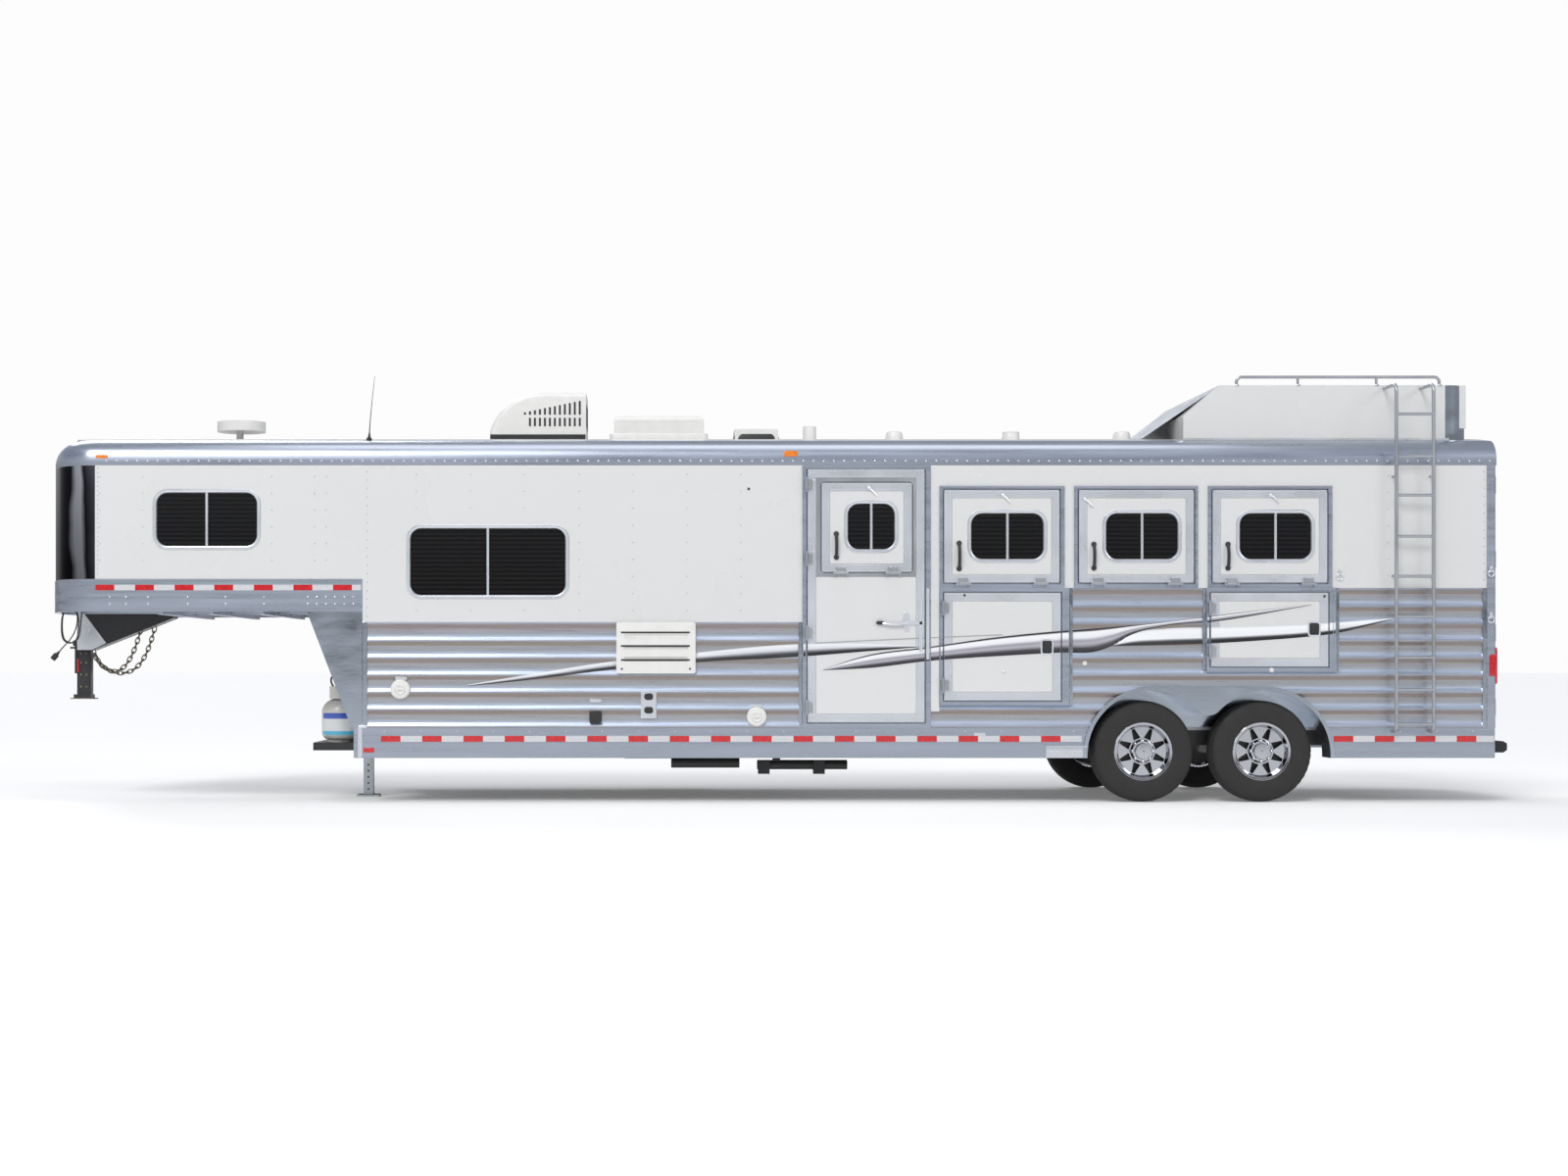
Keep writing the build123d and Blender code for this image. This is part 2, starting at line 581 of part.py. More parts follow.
# ---------------------------------------------------------------- frames, windows
with BuildPart() as opening_frames:
    left_inside = wall_plane(-1, HALF_WIDTH - WALL)
    right_inside = wall_plane(1, HALF_WIDTH - WALL)
    for opening in (SIDE_DOOR, STORAGE_FRONT, STORAGE_REAR):
        add(opening_frame(left_inside, opening))
        heights = door_hinge_heights(opening[6], opening[7], 4 if opening is SIDE_DOOR else 2)
        for z in heights:
            with Locations(upright_hinge(-1, opening[4] - PIN_SIDE, z)):
                add(hinge_fixed(60))
    for opening in (DROP_2, DROP_3, DROP_4):
        add(opening_frame(left_inside, opening))
        for x in (opening[4] + 150, opening[5] - 150):
            with Locations(drop_hinge(x, opening[6] - PIN_SIDE)):
                add(hinge_fixed(60))
        # guard bars behind the leaf
        x0, x1, z0, z1 = glass_span(opening[4:8], DROP_GLASS_MARGIN)
        bars = int((x1 - x0) / BAR_PITCH)
        for i in range(bars):
            x = (x0 + x1) / 2 + (i - (bars - 1) / 2) * BAR_PITCH
            add(rod((x, -1184, opening[6] + 10), (x, -1184, opening[7] - 10), 6))
    add(opening_frame(right_inside, ENTRY_DOOR, flip=-1))
    for z in door_hinge_heights(ENTRY_DOOR[6], ENTRY_DOOR[7], 3):
        with Locations(upright_hinge(1, ENTRY_DOOR[4] - PIN_SIDE, z)):
            add(hinge_fixed(60))
opening_frames.part.label = "opening_frames"
export_step(opening_frames.part, "parts/opening_frames.step")

with BuildPart() as window_glass:
    for side in (-1, 1):
        for window in (NOSE_WINDOW, QUARTERS_WINDOW):
            add(window_pane(side, window, HALF_WIDTH - 10))
    for x in HIP_WINDOW_XS:
        window = (x, x + HIP_WINDOW[0], HIP_WINDOW[1], HIP_WINDOW[2])
        add(window_pane(1, window, HALF_WIDTH - 10))
window_glass.part.label = "window_glass"
export_step(window_glass.part, "parts/window_glass.step")

# ---------------------------------------------------------------- doors and drop windows
LEAF_OUT = HALF_WIDTH + TRIM


def door_leaf(side, leaf, hinges):
    """A door as thick as the leaf, with its hinge knuckles down the front edge."""
    x0, x1, z0, z1 = leaf
    with BuildPart() as door:
        plane = wall_plane(side, LEAF_OUT - LEAF)
        add(slab(plane, (x0, x1), z0, z1, LEAF, flip=-side))
        for z in door_hinge_heights(z0, z1, hinges):
            with Locations(upright_hinge(side, x0 - PIN_SIDE, z)):
                add(hinge_leaf(60))
    return door.part


def drop_leaf(leaf, glass, thickness):
    """A drop window's leaf with its glass opening and the knuckles below it."""
    x0, x1, z0, z1 = leaf
    with BuildPart() as window:
        plane = wall_plane(-1, LEAF_OUT - thickness)
        add(slab(plane, (x0, x1), z0, z1, thickness, corner=30))
        for x in (x0 + 150, x1 - 150):
            with Locations(drop_hinge(x, z0 - PIN_SIDE)):
                add(hinge_leaf(60))
        add(window_hole(-1, glass), mode=Mode.SUBTRACT)
    return window.part


with BuildPart() as side_door:
    add(door_leaf(-1, SIDE_DOOR[4:8], 4))
    x0, x1, z0, z1 = DROP_1
    pocket = wall_plane(-1, LEAF_OUT - 30)
    through = wall_plane(-1, LEAF_OUT - LEAF - 5)
    add(slab(pocket, (x0 - GAP, x1 + GAP), z0 - GAP, z1 + GAP, 40, corner=30 + GAP),
        mode=Mode.SUBTRACT)
    add(slab(through, (x0 + 40, x1 - 40), z0 + 40, z1 - 40, 60), mode=Mode.SUBTRACT)
    for x in (x0 + 150, x1 - 150):
        with Locations(drop_hinge(x, z0 - PIN_SIDE)):
            add(hinge_fixed(60))
    for i in range(5):
        x = (x0 + x1) / 2 + (i - 2) * BAR_PITCH
        add(rod((x, -1198, z0 + 20), (x, -1198, z1 - 20), 4))
side_door.part.label = "side_door"
export_step(side_door.part, "parts/side_door.step")

DROP_LEAVES = {
    "drop_window_1": (DROP_1, DOOR_GLASS_MARGIN, 24),
    "drop_window_2": (DROP_2[4:8], DROP_GLASS_MARGIN, LEAF),
    "drop_window_3": (DROP_3[4:8], DROP_GLASS_MARGIN, LEAF),
    "drop_window_4": (DROP_4[4:8], DROP_GLASS_MARGIN, LEAF),
}
for name, (leaf, margin, thickness) in DROP_LEAVES.items():
    glass = glass_span(leaf, margin)
    with BuildPart() as drop_window:
        add(drop_leaf(leaf, glass, thickness))
    drop_window.part.label = name
    export_step(drop_window.part, f"parts/{name}.step")

    with BuildPart() as drop_glass:
        add(window_pane(-1, glass, LEAF_OUT - 8))
    drop_glass.part.label = f"{name}_glass"
    export_step(drop_glass.part, f"parts/{name}_glass.step")

STORAGE_DOORS = {"storage_door_front": STORAGE_FRONT, "storage_door_rear": STORAGE_REAR}
for name, opening in STORAGE_DOORS.items():
    with BuildPart() as storage_door:
        add(door_leaf(-1, opening[4:8], 2))
    storage_door.part.label = name
    export_step(storage_door.part, f"parts/{name}.step")

with BuildPart() as entry_door:
    add(door_leaf(1, ENTRY_DOOR[4:8], 3))
entry_door.part.label = "entry_door"
export_step(entry_door.part, "parts/entry_door.step")

for side, name in ((-1, "rear_door_left"), (1, "rear_door_right")):
    leaf_plane = REAR_PLANE.offset(TRIM - LEAF)
    span = sorted((side * 4, side * (REAR_OPENING_Y - GAP)))
    pane = sorted((side * REAR_GLASS[0], side * REAR_GLASS[1]))
    with BuildPart() as rear_door:
        add(slab(leaf_plane, span, REAR_LOW_Z + GAP, REAR_HIGH_Z, LEAF))
        for z in door_hinge_heights(REAR_LOW_Z + GAP, REAR_HIGH_Z, 4):
            with Locations(rear_hinge(side, z)):
                add(hinge_leaf(66))
        hole = slab(leaf_plane.offset(-20), pane, REAR_GLASS[2], REAR_GLASS[3], 80,
                    corner=GLASS_CORNER_R)
        add(hole, mode=Mode.SUBTRACT)
    rear_door.part.label = name
    export_step(rear_door.part, f"parts/{name}.step")

    with BuildPart() as rear_glass:
        add(slab(leaf_plane.offset(LEAF - 14), pane, REAR_GLASS[2], REAR_GLASS[3], GLASS,
                 corner=GLASS_CORNER_R))
    rear_glass.part.label = f"{name}_glass"
    export_step(rear_glass.part, f"parts/{name}_glass.step")

with BuildPart() as entry_step:
    x0, x1 = -1150, -540
    add(box_between((x0, 930, 262), (x1, 1190, 290)))
    for x in (x0 + 10, x1 - 50):
        add(box_between((x, 700, 290), (x + 40, 1190, 320)))
entry_step.part.label = "entry_step"
export_step(entry_step.part, "parts/entry_step.step")

# ---------------------------------------------------------------- running gear
with BuildPart() as axles:
    for x in WHEEL_XS.values():
        for side in (-1, 1):
            add(rod((x, side * 800, TYRE_R), (x, side * 1105, TYRE_R), SPINDLE_R))
            arm_y = side * 820
            low, high = TYRE_R - 50, TYRE_R + 40
            add(box_between((x - 150, arm_y - 25, low), (x + 50, arm_y + 25, high)))
        add(box_between((x - 190, -845, low), (x - 90, 845, high)))
axles.part.label = "axles"
export_step(axles.part, "parts/axles.step")

for name, x in WHEEL_XS.items():
    for side, hand in ((-1, "left"), (1, "right")):
        centre = TYRE_OUTER_Y - TYRE_WIDTH / 2
        half = TYRE_WIDTH / 2
        spin = Axis((x, 0, TYRE_R), (0, 1, 0))
        with BuildPart() as tyre:
            with BuildSketch(Plane.YZ.offset(x)):
                with BuildLine():
                    Polyline(
                        *[(side * (centre + dy * half), TYRE_R + r) for dy, r in (
                            (-0.80, RIM_R), (-0.97, RIM_R + 50), (-1.0, RIM_R + 85),
                            (-0.94, TYRE_R - 38), (-0.80, TYRE_R - 12), (-0.70, TYRE_R - 3),
                            (0, TYRE_R), (0.70, TYRE_R - 3), (0.80, TYRE_R - 12),
                            (0.94, TYRE_R - 38), (1.0, RIM_R + 85), (0.97, RIM_R + 50),
                            (0.80, RIM_R))],
                        close=True)
                make_face()
            revolve(axis=spin)
        tyre.part.label = f"{hand}_{name}_tyre"
        export_step(tyre.part, f"parts/{hand}_{name}_tyre.step")

        with BuildPart() as rim:
            with BuildSketch(Plane.YZ.offset(x)):
                with BuildLine():
                    Polyline(
                        *[(side * (centre + y), TYRE_R + r) for y, r in (
                            (-half * 0.80, RIM_R), (half * 0.80, RIM_R),
                            (half * 0.90, RIM_R + 12), (half * 0.90, RIM_R - 8),
                            (60, RIM_R - 26), (60, 95), (88, 80), (88, 66), (112, 62),
                            (118, 0), (6, 0), (6, 95), (36, 100), (36, RIM_R - 22),
                            (-half * 0.80, RIM_R - 14))],
                        close=True)
                make_face()
            revolve(axis=spin)
            face = Plane(origin=(x, side * (centre + 20), TYRE_R), x_dir=(1, 0, 0),
                         z_dir=(0, side, 0))
            with BuildSketch(face):
                with PolarLocations(145, 8, start_angle=22.5):
                    Trapezoid(58, 84, 101, rotation=90)
            extrude(amount=60, mode=Mode.SUBTRACT)
            add(rod((x, side * 700, TYRE_R), (x, side * 1106, TYRE_R), SPINDLE_R + HUB_CLEARANCE),
                mode=Mode.SUBTRACT)
        rim.part.label = f"{hand}_{name}_rim"
        export_step(rim.part, f"parts/{hand}_{name}_rim.step")


# ---------------------------------------------------------------- coupler, chains and cord
with BuildPart() as coupler:
    # tapered box under the nose
    with BuildSketch(Plane.XZ.offset(-110)):
        with BuildLine():
            Polyline((-5695, NECK_FLOOR_Z), (-4898, NECK_FLOOR_Z), (-4898, 1470),
                     (-5578, 1202), (-5695, 1202), close=True)
        make_face()
    extrude(amount=220)
    # upright tube, and a flanged foot that takes the ball
    half = COUPLER_TUBE / 2
    add(box_between((COUPLER_X - half, -half, 836), (COUPLER_X + half, half, 1300)))
    vertical = coupler.edges().filter_by(Axis.Z).group_by(Axis.Z)[0]
    fillet(vertical, 12)
    add(box_between((COUPLER_X - 80, -75, 797), (COUPLER_X + 62, 75, 836)))
    # latch: a plate on the front with its lever
    add(box_between((COUPLER_X - half - 26, -30, 1010), (COUPLER_X - half + 2, 30, 1260)))
    add(rod((COUPLER_X - half - 70, 0, 1225), (COUPLER_X - half - 20, 0, 1225), 9))
    with Locations((COUPLER_X, 0, 797 + 30)):
        Cylinder(BALL_R, 60, mode=Mode.SUBTRACT)
coupler.part.label = "coupler"
export_step(coupler.part, "parts/coupler.step")

CHAIN_ROUTES = (
    ((-5571, 1212), (-5532, 1120), (-5468, 1050), (-5390, 1020), (-5315, 1055),
     (-5258, 1135), (-5212, 1240), (-5172, 1372)),
    ((-5592, 1156), (-5548, 1085), (-5470, 1030), (-5372, 1006), (-5270, 1030),
     (-5190, 1110), (-5130, 1235), (-5081, 1408)),
)
with BuildPart() as safety_chains:
    for route, y in zip(CHAIN_ROUTES, (-75, 75)):
        add(bent_tube([(x, y, z) for x, z in route], CHAIN_R, 70))
safety_chains.part.label = "safety_chains"
export_step(safety_chains.part, "parts/safety_chains.step")

# trailer cord: out of its gland, twice round over its hook, and down to the plug
CORD_ROUTE = [
    (CORD_LOOP_X + x, y, z)
    for x, y, z in (
        (88, -388, 1544), (88, -388, 1480), (80, -388, 1408), (74, -388, 1340),
        (54, -388, 1284), (2, -389, 1258), (-50, -390, 1281), (-67, -391, 1336),
        (-70, -391, 1402), (-67, -392, 1468), (-51, -393, 1524), (1, -396, 1549),
        (52, -399, 1526), (66, -401, 1470), (68, -402, 1404), (64, -403, 1338),
        (48, -404, 1280), (-4, -405, 1253), (-56, -406, 1278), (-72, -407, 1335),
        (-73, -407, 1400), (-69, -408, 1467), (-52, -409, 1523), (0, -412, 1548),
        (50, -416, 1524), (64, -419, 1466), (56, -421, 1400), (35, -422, 1338),
        (0, -423, 1284), (-44, -424, 1238), (-84, -425, 1192),
    )
]


def bend_radii(route):
    """Radius at each inner point: 0.45 of its shorter run over the tangent of half the turn."""
    radii = []
    for before, here, after in zip(route, route[1:], route[2:]):
        run_in = Vector(*here) - Vector(*before)
        run_out = Vector(*after) - Vector(*here)
        turn = radians(run_in.get_angle(run_out))
        radii.append(0.45 * min(run_in.length, run_out.length) / tan(turn / 2))
    return radii


cord_radii = bend_radii(CORD_ROUTE)
print("cord bend radii", [round(r) for r in cord_radii])
with BuildPart() as trailer_cord:
    with BuildLine() as cord_path:
        FilletPolyline(*CORD_ROUTE, radius=cord_radii)
    with BuildSketch(Plane(origin=CORD_ROUTE[0], z_dir=cord_path.line % 0)):
        Circle(CORD_R)
    sweep()
trailer_cord.part.label = "trailer_cord"
export_step(trailer_cord.part, "parts/trailer_cord.step")
cord_length = sum(edge.length for edge in cord_path.edges())
print("cord length", round(cord_length), "volume over section",
      round(trailer_cord.part.volume / (3.14159 * CORD_R**2)))

with BuildPart() as trailer_plug:
    heading = Vector(*CORD_ROUTE[-1]) - Vector(*CORD_ROUTE[-2])
    plug_plane = Plane(origin=CORD_ROUTE[-1], z_dir=heading)
    grow_up = (Align.CENTER, Align.CENTER, Align.MIN)
    with Locations(plug_plane.location):
        Cone(CORD_R + 2, 15, 34, align=grow_up)
    with Locations(plug_plane.offset(34).location):
        Cylinder(23, 52, align=grow_up)
trailer_plug.part.label = "trailer_plug"
export_step(trailer_plug.part, "parts/trailer_plug.step")

# ---------------------------------------------------------------- gas bottles and jack
with BuildPart() as gas_bottles:
    for side in (-1, 1):
        with BuildSketch(Plane.XZ.offset(-side * 200)):
            with BuildLine():
                Polyline((-3490, 444), (-3390, 444), (-3390, 462))
                ThreePointArc((-3390, 462), (-3349, 485), (-3335, 530))
                Line((-3335, 530), (-3335, 690))
                ThreePointArc((-3335, 690), (-3368, 765), (-3450, 802))
                Polyline((-3450, 802), (-3450, 850), (-3474, 850), (-3474, 905),
                         (-3490, 905), (-3490, 444))
            make_face()
        revolve(axis=Axis((-3490, side * 200, 0), (0, 0, 1)))
gas_bottles.part.label = "gas_bottles"
export_step(gas_bottles.part, "parts/gas_bottles.step")

with BuildPart() as jack_housing:
    with Locations((JACK_X, JACK_Y, sum(JACK_HOUSING_Z) / 2)):
        Box(JACK_HOUSING, JACK_HOUSING, JACK_HOUSING_Z[1] - JACK_HOUSING_Z[0])
    bore = JACK_LEG + 2 * JACK_CLEARANCE
    with Locations((JACK_X, JACK_Y, JACK_HOUSING_Z[0] + 385)):
        Box(bore, bore, 770, mode=Mode.SUBTRACT)
    for z in (700, 1050):
        add(box_between((JACK_X + 50, JACK_Y - 110, z - 35), (FRONT_X, JACK_Y + 110, z + 35)))
jack_housing.part.label = "jack_housing"
export_step(jack_housing.part, "parts/jack_housing.step")

with BuildPart() as jack_leg:
    with Locations((JACK_X, JACK_Y, 10 + 395)):
        Box(JACK_LEG, JACK_LEG, 790)
    with Locations((JACK_X, JACK_Y, 8)):
        Box(182, 182, 16)
jack_leg.part.label = "jack_leg"
export_step(jack_leg.part, "parts/jack_leg.step")

# ---------------------------------------------------------------- under the floor
with BuildPart() as waste_tanks:
    add(box_between((-2700, -770, 335), (300, 770, 485)))
    # two drain pipes beside the tank, each on its outlets, with slide valves
    for x0, x1, z, radius in ((-760, -215, 300, 40), (-73, 645, 285, 38)):
        add(rod((x0, -900, z), (x1, -900, z), radius))
    for x in (-420, 80):
        add(box_between((x - 30, -895, 345), (x + 30, -760, 400)))
        add(box_between((x - 30, -925, 290), (x + 30, -875, 400)))
    for x in (-20, 420):
        add(box_between((x - 45, -948, 212), (x + 45, -852, 318)))
waste_tanks.part.label = "waste_tanks"
export_step(waste_tanks.part, "parts/waste_tanks.step")

# ---------------------------------------------------------------- on the roof
with BuildPart() as air_conditioner:
    with BuildSketch(Plane.XZ.offset(-330)):
        with BuildLine():
            Line((-1454, ROOF_CROWN_Z), (-2245, ROOF_CROWN_Z))
            Line((-2245, ROOF_CROWN_Z), (-2245, 3010))
            ThreePointArc((-2245, 3010), (-2080, 3240), (-1800, 3324))
            Polyline((-1800, 3324), (-1454, 3324), (-1454, ROOF_CROWN_Z))
        make_face()
    extrude(amount=660)
    long_edges = air_conditioner.edges().filter_by(Axis.X).group_by(Axis.Z)[-1]
    fillet(long_edges, 40)
air_conditioner.part.label = "air_conditioner"
export_step(air_conditioner.part, "parts/air_conditioner.step")

with BuildPart() as roof_fittings:
    add(box_between((-1224, -330, ROOF_CROWN_Z), (-483, 330, 3132)))
    fillet(roof_fittings.faces().sort_by(Axis.Z)[-1].edges(), 40)
    add(box_between((-224, -180, ROOF_CROWN_Z), (137, 180, 3037)))
    for x, width in ((1116, 123), (2092, 139), (3020, 123)):
        with Locations((x, 0, ROOF_CROWN_Z + 44)):
            Cylinder(width / 2, 88)
    add(rod((408, 0, ROOF_CROWN_Z), (408, 0, 3073), 54.5))
    # receiving dish on its short mast
    add(rod((-4357, 0, ROOF_CROWN_Z), (-4357, 0, 3040), 30))
    with Locations((-4344, 0, 3069)):
        Cylinder(200, 82)
roof_fittings.part.label = "roof_fittings"
export_step(roof_fittings.part, "parts/roof_fittings.step")

with BuildPart() as hay_pod:
    with BuildSketch(Plane.XZ.offset(-POD_HALF_WIDTH)):
        with BuildLine():
            Polyline((POD_FRONT_X, ROOF_EDGE_Z), (POD_FRONT_X, POD_SHOULDER_Z),
                     (POD_SLOPE_X, POD_TOP_Z), (POD_REAR_X, POD_TOP_Z),
                     (POD_REAR_X, ROOF_EDGE_Z), close=True)
        make_face()
    extrude(amount=2 * POD_HALF_WIDTH)
    rear_edges = hay_pod.edges().filter_by(Axis.Z).group_by(Axis.X)[-1]
    fillet(rear_edges, POD_CORNER_R)
    # the load space, open on top behind the sloping front
    w = POD_WALL
    inner = POD_HALF_WIDTH - w
    with BuildSketch(Plane.XZ.offset(-inner)):
        with BuildLine():
            Polyline((POD_FRONT_X + w, 2965), (POD_FRONT_X + w, POD_SHOULDER_Z - 12),
                     (POD_SLOPE_X + 12, POD_TOP_Z - w), (POD_SLOPE_X + 12, POD_TOP_Z + 50),
                     (POD_REAR_X - w, POD_TOP_Z + 50), (POD_REAR_X - w, 2965), close=True)
        make_face()
    extrude(amount=2 * inner, mode=Mode.SUBTRACT)
    for side in (-1, 1):
        y0, y1 = sorted((side * inner, side * (inner - POD_CORNER_R + w)))
        x1 = POD_REAR_X - w
        add(box_between((x1 - POD_CORNER_R + w, y0, 2965), (x1, y1, POD_TOP_Z)))
        corner_y = side * (POD_HALF_WIDTH - POD_CORNER_R)
        with Locations((POD_REAR_X - POD_CORNER_R, corner_y, 3200)):
            Cylinder(POD_CORNER_R - w, 470, mode=Mode.SUBTRACT)
    add(crown_solid(0), mode=Mode.SUBTRACT)
hay_pod.part.label = "hay_pod"
export_step(hay_pod.part, "parts/hay_pod.step")

with BuildPart() as pod_rails:
    y = POD_HALF_WIDTH - POD_WALL / 2
    for side in (-1, 1):
        add(bent_tube([(3735, side * y, POD_TOP_Z), (3735, side * y, 3370),
                       (5348, side * y, 3370), (5348, side * y, POD_TOP_Z)], 12, 40))
        for x in (4223, 4847):
            add(rod((x, side * y, POD_TOP_Z), (x, side * y, 3368), 10))
pod_rails.part.label = "pod_rails"
export_step(pod_rails.part, "parts/pod_rails.step")

with BuildPart() as ladder:
    for x in LADDER_XS:
        add(bent_tube([(x, -1226, 560), (x, LADDER_Y, 560), (x, LADDER_Y, 3278),
                       (x, -POD_HALF_WIDTH, 3278)], LADDER_R, 60))
        for z in (1780, 2560):
            add(rod((x, -HALF_WIDTH, z), (x, LADDER_Y, z), 9))
    for z in LADDER_RUNGS_Z:
        add(rod((LADDER_XS[0], LADDER_Y, z), (LADDER_XS[1], LADDER_Y, z), 12))
ladder.part.label = "ladder"
export_step(ladder.part, "parts/ladder.step")

with BuildPart() as service_hatches:
    # cooling vent of the fridge, with three slots
    add(slab(wall_plane(-1, HALF_WIDTH + 2), (-1194, -572), 1013, 1417, 22, corner=18))
    for z in (1110, 1200, 1290):
        add(slab(wall_plane(-1, HALF_WIDTH + 14), (-1130, -636), z, z + 34, 20),
            mode=Mode.SUBTRACT)
    for x, z in ((-2891, 890), (-92, 674)):
        add(rod((x, -HALF_WIDTH - 2, z), (x, -HALF_WIDTH - 26, z), 65))
service_hatches.part.label = "service_hatches"
export_step(service_hatches.part, "parts/service_hatches.step")
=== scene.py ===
"""Gooseneck horse trailer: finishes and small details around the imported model.

Metres. +X runs to the rear, +Z is up and the left side faces -Y.
"""

import json
from math import pi, radians

import bmesh
import bpy
import numpy as np
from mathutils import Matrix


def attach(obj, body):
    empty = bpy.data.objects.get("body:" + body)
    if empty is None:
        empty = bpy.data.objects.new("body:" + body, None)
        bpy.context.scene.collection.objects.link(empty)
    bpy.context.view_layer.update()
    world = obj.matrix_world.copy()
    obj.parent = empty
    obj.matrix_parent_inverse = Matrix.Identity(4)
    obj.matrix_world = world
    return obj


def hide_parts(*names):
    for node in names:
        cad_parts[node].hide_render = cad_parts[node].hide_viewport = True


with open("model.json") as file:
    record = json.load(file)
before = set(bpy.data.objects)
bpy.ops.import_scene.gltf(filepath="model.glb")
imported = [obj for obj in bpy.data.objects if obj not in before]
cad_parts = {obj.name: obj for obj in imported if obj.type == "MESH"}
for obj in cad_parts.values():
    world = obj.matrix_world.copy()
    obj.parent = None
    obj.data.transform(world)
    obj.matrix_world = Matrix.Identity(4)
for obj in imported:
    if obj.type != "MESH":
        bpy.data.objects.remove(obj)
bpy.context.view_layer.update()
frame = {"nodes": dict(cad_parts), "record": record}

bl_info = {
    "name": "Horse Trailer",
    "version": (1, 0, 0),
    "blender": (4, 5, 0),
    "location": "3D View > Sidebar > Trailer",
    "description": "Finishes and details of a gooseneck horse trailer",
    "category": "Add Mesh",
}

TRAILER = "trailer_body"
SIDES = ("left", "right")
# distances of the outer faces from the centre line
WALL_D, CREST_D, VALLEY_D, RAIL_D, FRAME_D = 1.220, 1.222, 1.209, 1.226, 1.232
DOOR_D = 1.234                       # the panels and borders laid on a door
REAR_D = 5.718                       # outer face of the rear doors and their frame
PLANK_LOW, PLANK_PITCH = 0.585, 0.135
GLASS_R = 0.085
WHEEL_X = {"front": 2.954, "rear": 3.887}
WHEEL_Z, WHEEL_D = 0.400, 1.0725     # height of the axles, and middle of the tyres

# leaf x0, x1, z0, z1 and glass x0, x1, z0, z1
DROP_WINDOWS = {
    "drop_window_1": ((0.417, 1.128, 1.810, 2.512), (0.624, 0.991, 1.990, 2.346)),
    "drop_window_2": ((1.378, 2.287, 1.726, 2.456), (1.593, 2.160, 1.913, 2.271)),
    "drop_window_3": ((2.437, 3.342, 1.726, 2.456), (2.652, 3.215, 1.913, 2.271)),
    "drop_window_4": ((3.486, 4.389, 1.726, 2.456), (3.701, 4.262, 1.913, 2.271)),
}
CABIN_WINDOWS = {"neck": (-4.806, -4.018, 2.016, 2.434), "cabin": (-2.813, -1.594, 1.630, 2.154)}
HIP_WINDOWS = [(x - 0.32, x + 0.32, 1.913, 2.271) for x in (1.55, 2.50, 3.45, 4.40)]
LEAVES = {
    "side_door": (0.307, 1.227, 0.629, 2.618),
    "storage_door_front": (1.378, 2.297, 0.801, 1.648),
    "storage_door_rear": (3.473, 4.397, 1.067, 1.648),
}
ENTRY_LEAF = (-1.251, -0.437, 0.629, 2.522)
REAR_DOORS = {
    "rear_door_left": ((-1.122, -0.004, 0.629, 2.618), (-0.860, -0.260, 1.830, 2.330)),
    "rear_door_right": ((0.004, 1.122, 0.629, 2.618), (0.260, 0.860, 1.830, 2.330)),
}
PANEL = 0.0015                       # how far a panel stands proud of its door
PANES = {"wall": 1.2095, "drop": 1.2235, "rear": 5.7095}      # outer faces of the glass


# ------------------------------------------------------------------ what a user may change
class TrailerSizes(bpy.types.PropertyGroup):
    """Sizes of the small parts."""

    rivet: bpy.props.FloatProperty(
        name="Rivet radius", description="Radius of a panel rivet's head", default=0.0058,
        min=0.001, max=0.01, unit="LENGTH")
    tape_red: bpy.props.FloatProperty(
        name="Red length", description="Length of one red stretch of reflective tape",
        default=0.154, min=0.05, max=0.3, unit="LENGTH")
    tape_pitch: bpy.props.FloatProperty(
        name="Tape pitch", description="Distance from one red stretch to the next",
        default=0.324, min=0.1, max=0.6, unit="LENGTH")
    glass_trim: bpy.props.FloatProperty(
        name="Window frame width", description="Width of the frame round each pane",
        default=0.032, min=0.01, max=0.05, unit="LENGTH")
    tread_depth: bpy.props.FloatProperty(
        name="Tread depth", description="Depth of the grooves in the tyres", default=0.007,
        min=0.0, max=0.012, unit="LENGTH")


class TrailerColours(bpy.types.PropertyGroup):
    """Colours of the finishes."""

    paint: bpy.props.FloatVectorProperty(
        name="Paint", description="White paint of walls and doors",
        default=(0.65, 0.65, 0.638), subtype="COLOR", min=0, max=1)
    # painted reflection of the sky on the planks' upper slopes
    sky_reflection: bpy.props.FloatVectorProperty(
        name="Plank tops", description="Upper slopes of the planks",
        default=(0.54, 0.62, 0.76), subtype="COLOR", min=0, max=1)
    # painted reflection of the ground on the planks' lower slopes
    ground_reflection: bpy.props.FloatVectorProperty(
        name="Plank undersides", description="Lower slopes of the planks",
        default=(0.30, 0.26, 0.24), subtype="COLOR", min=0, max=1)
    red: bpy.props.FloatVectorProperty(
        name="Red", description="Red reflectors and lamps", default=(0.60, 0.008, 0.012),
        subtype="COLOR", min=0, max=1)
    amber: bpy.props.FloatVectorProperty(
        name="Amber", description="Amber marker lamps", default=(0.85, 0.22, 0.01),
        subtype="COLOR", min=0, max=1)


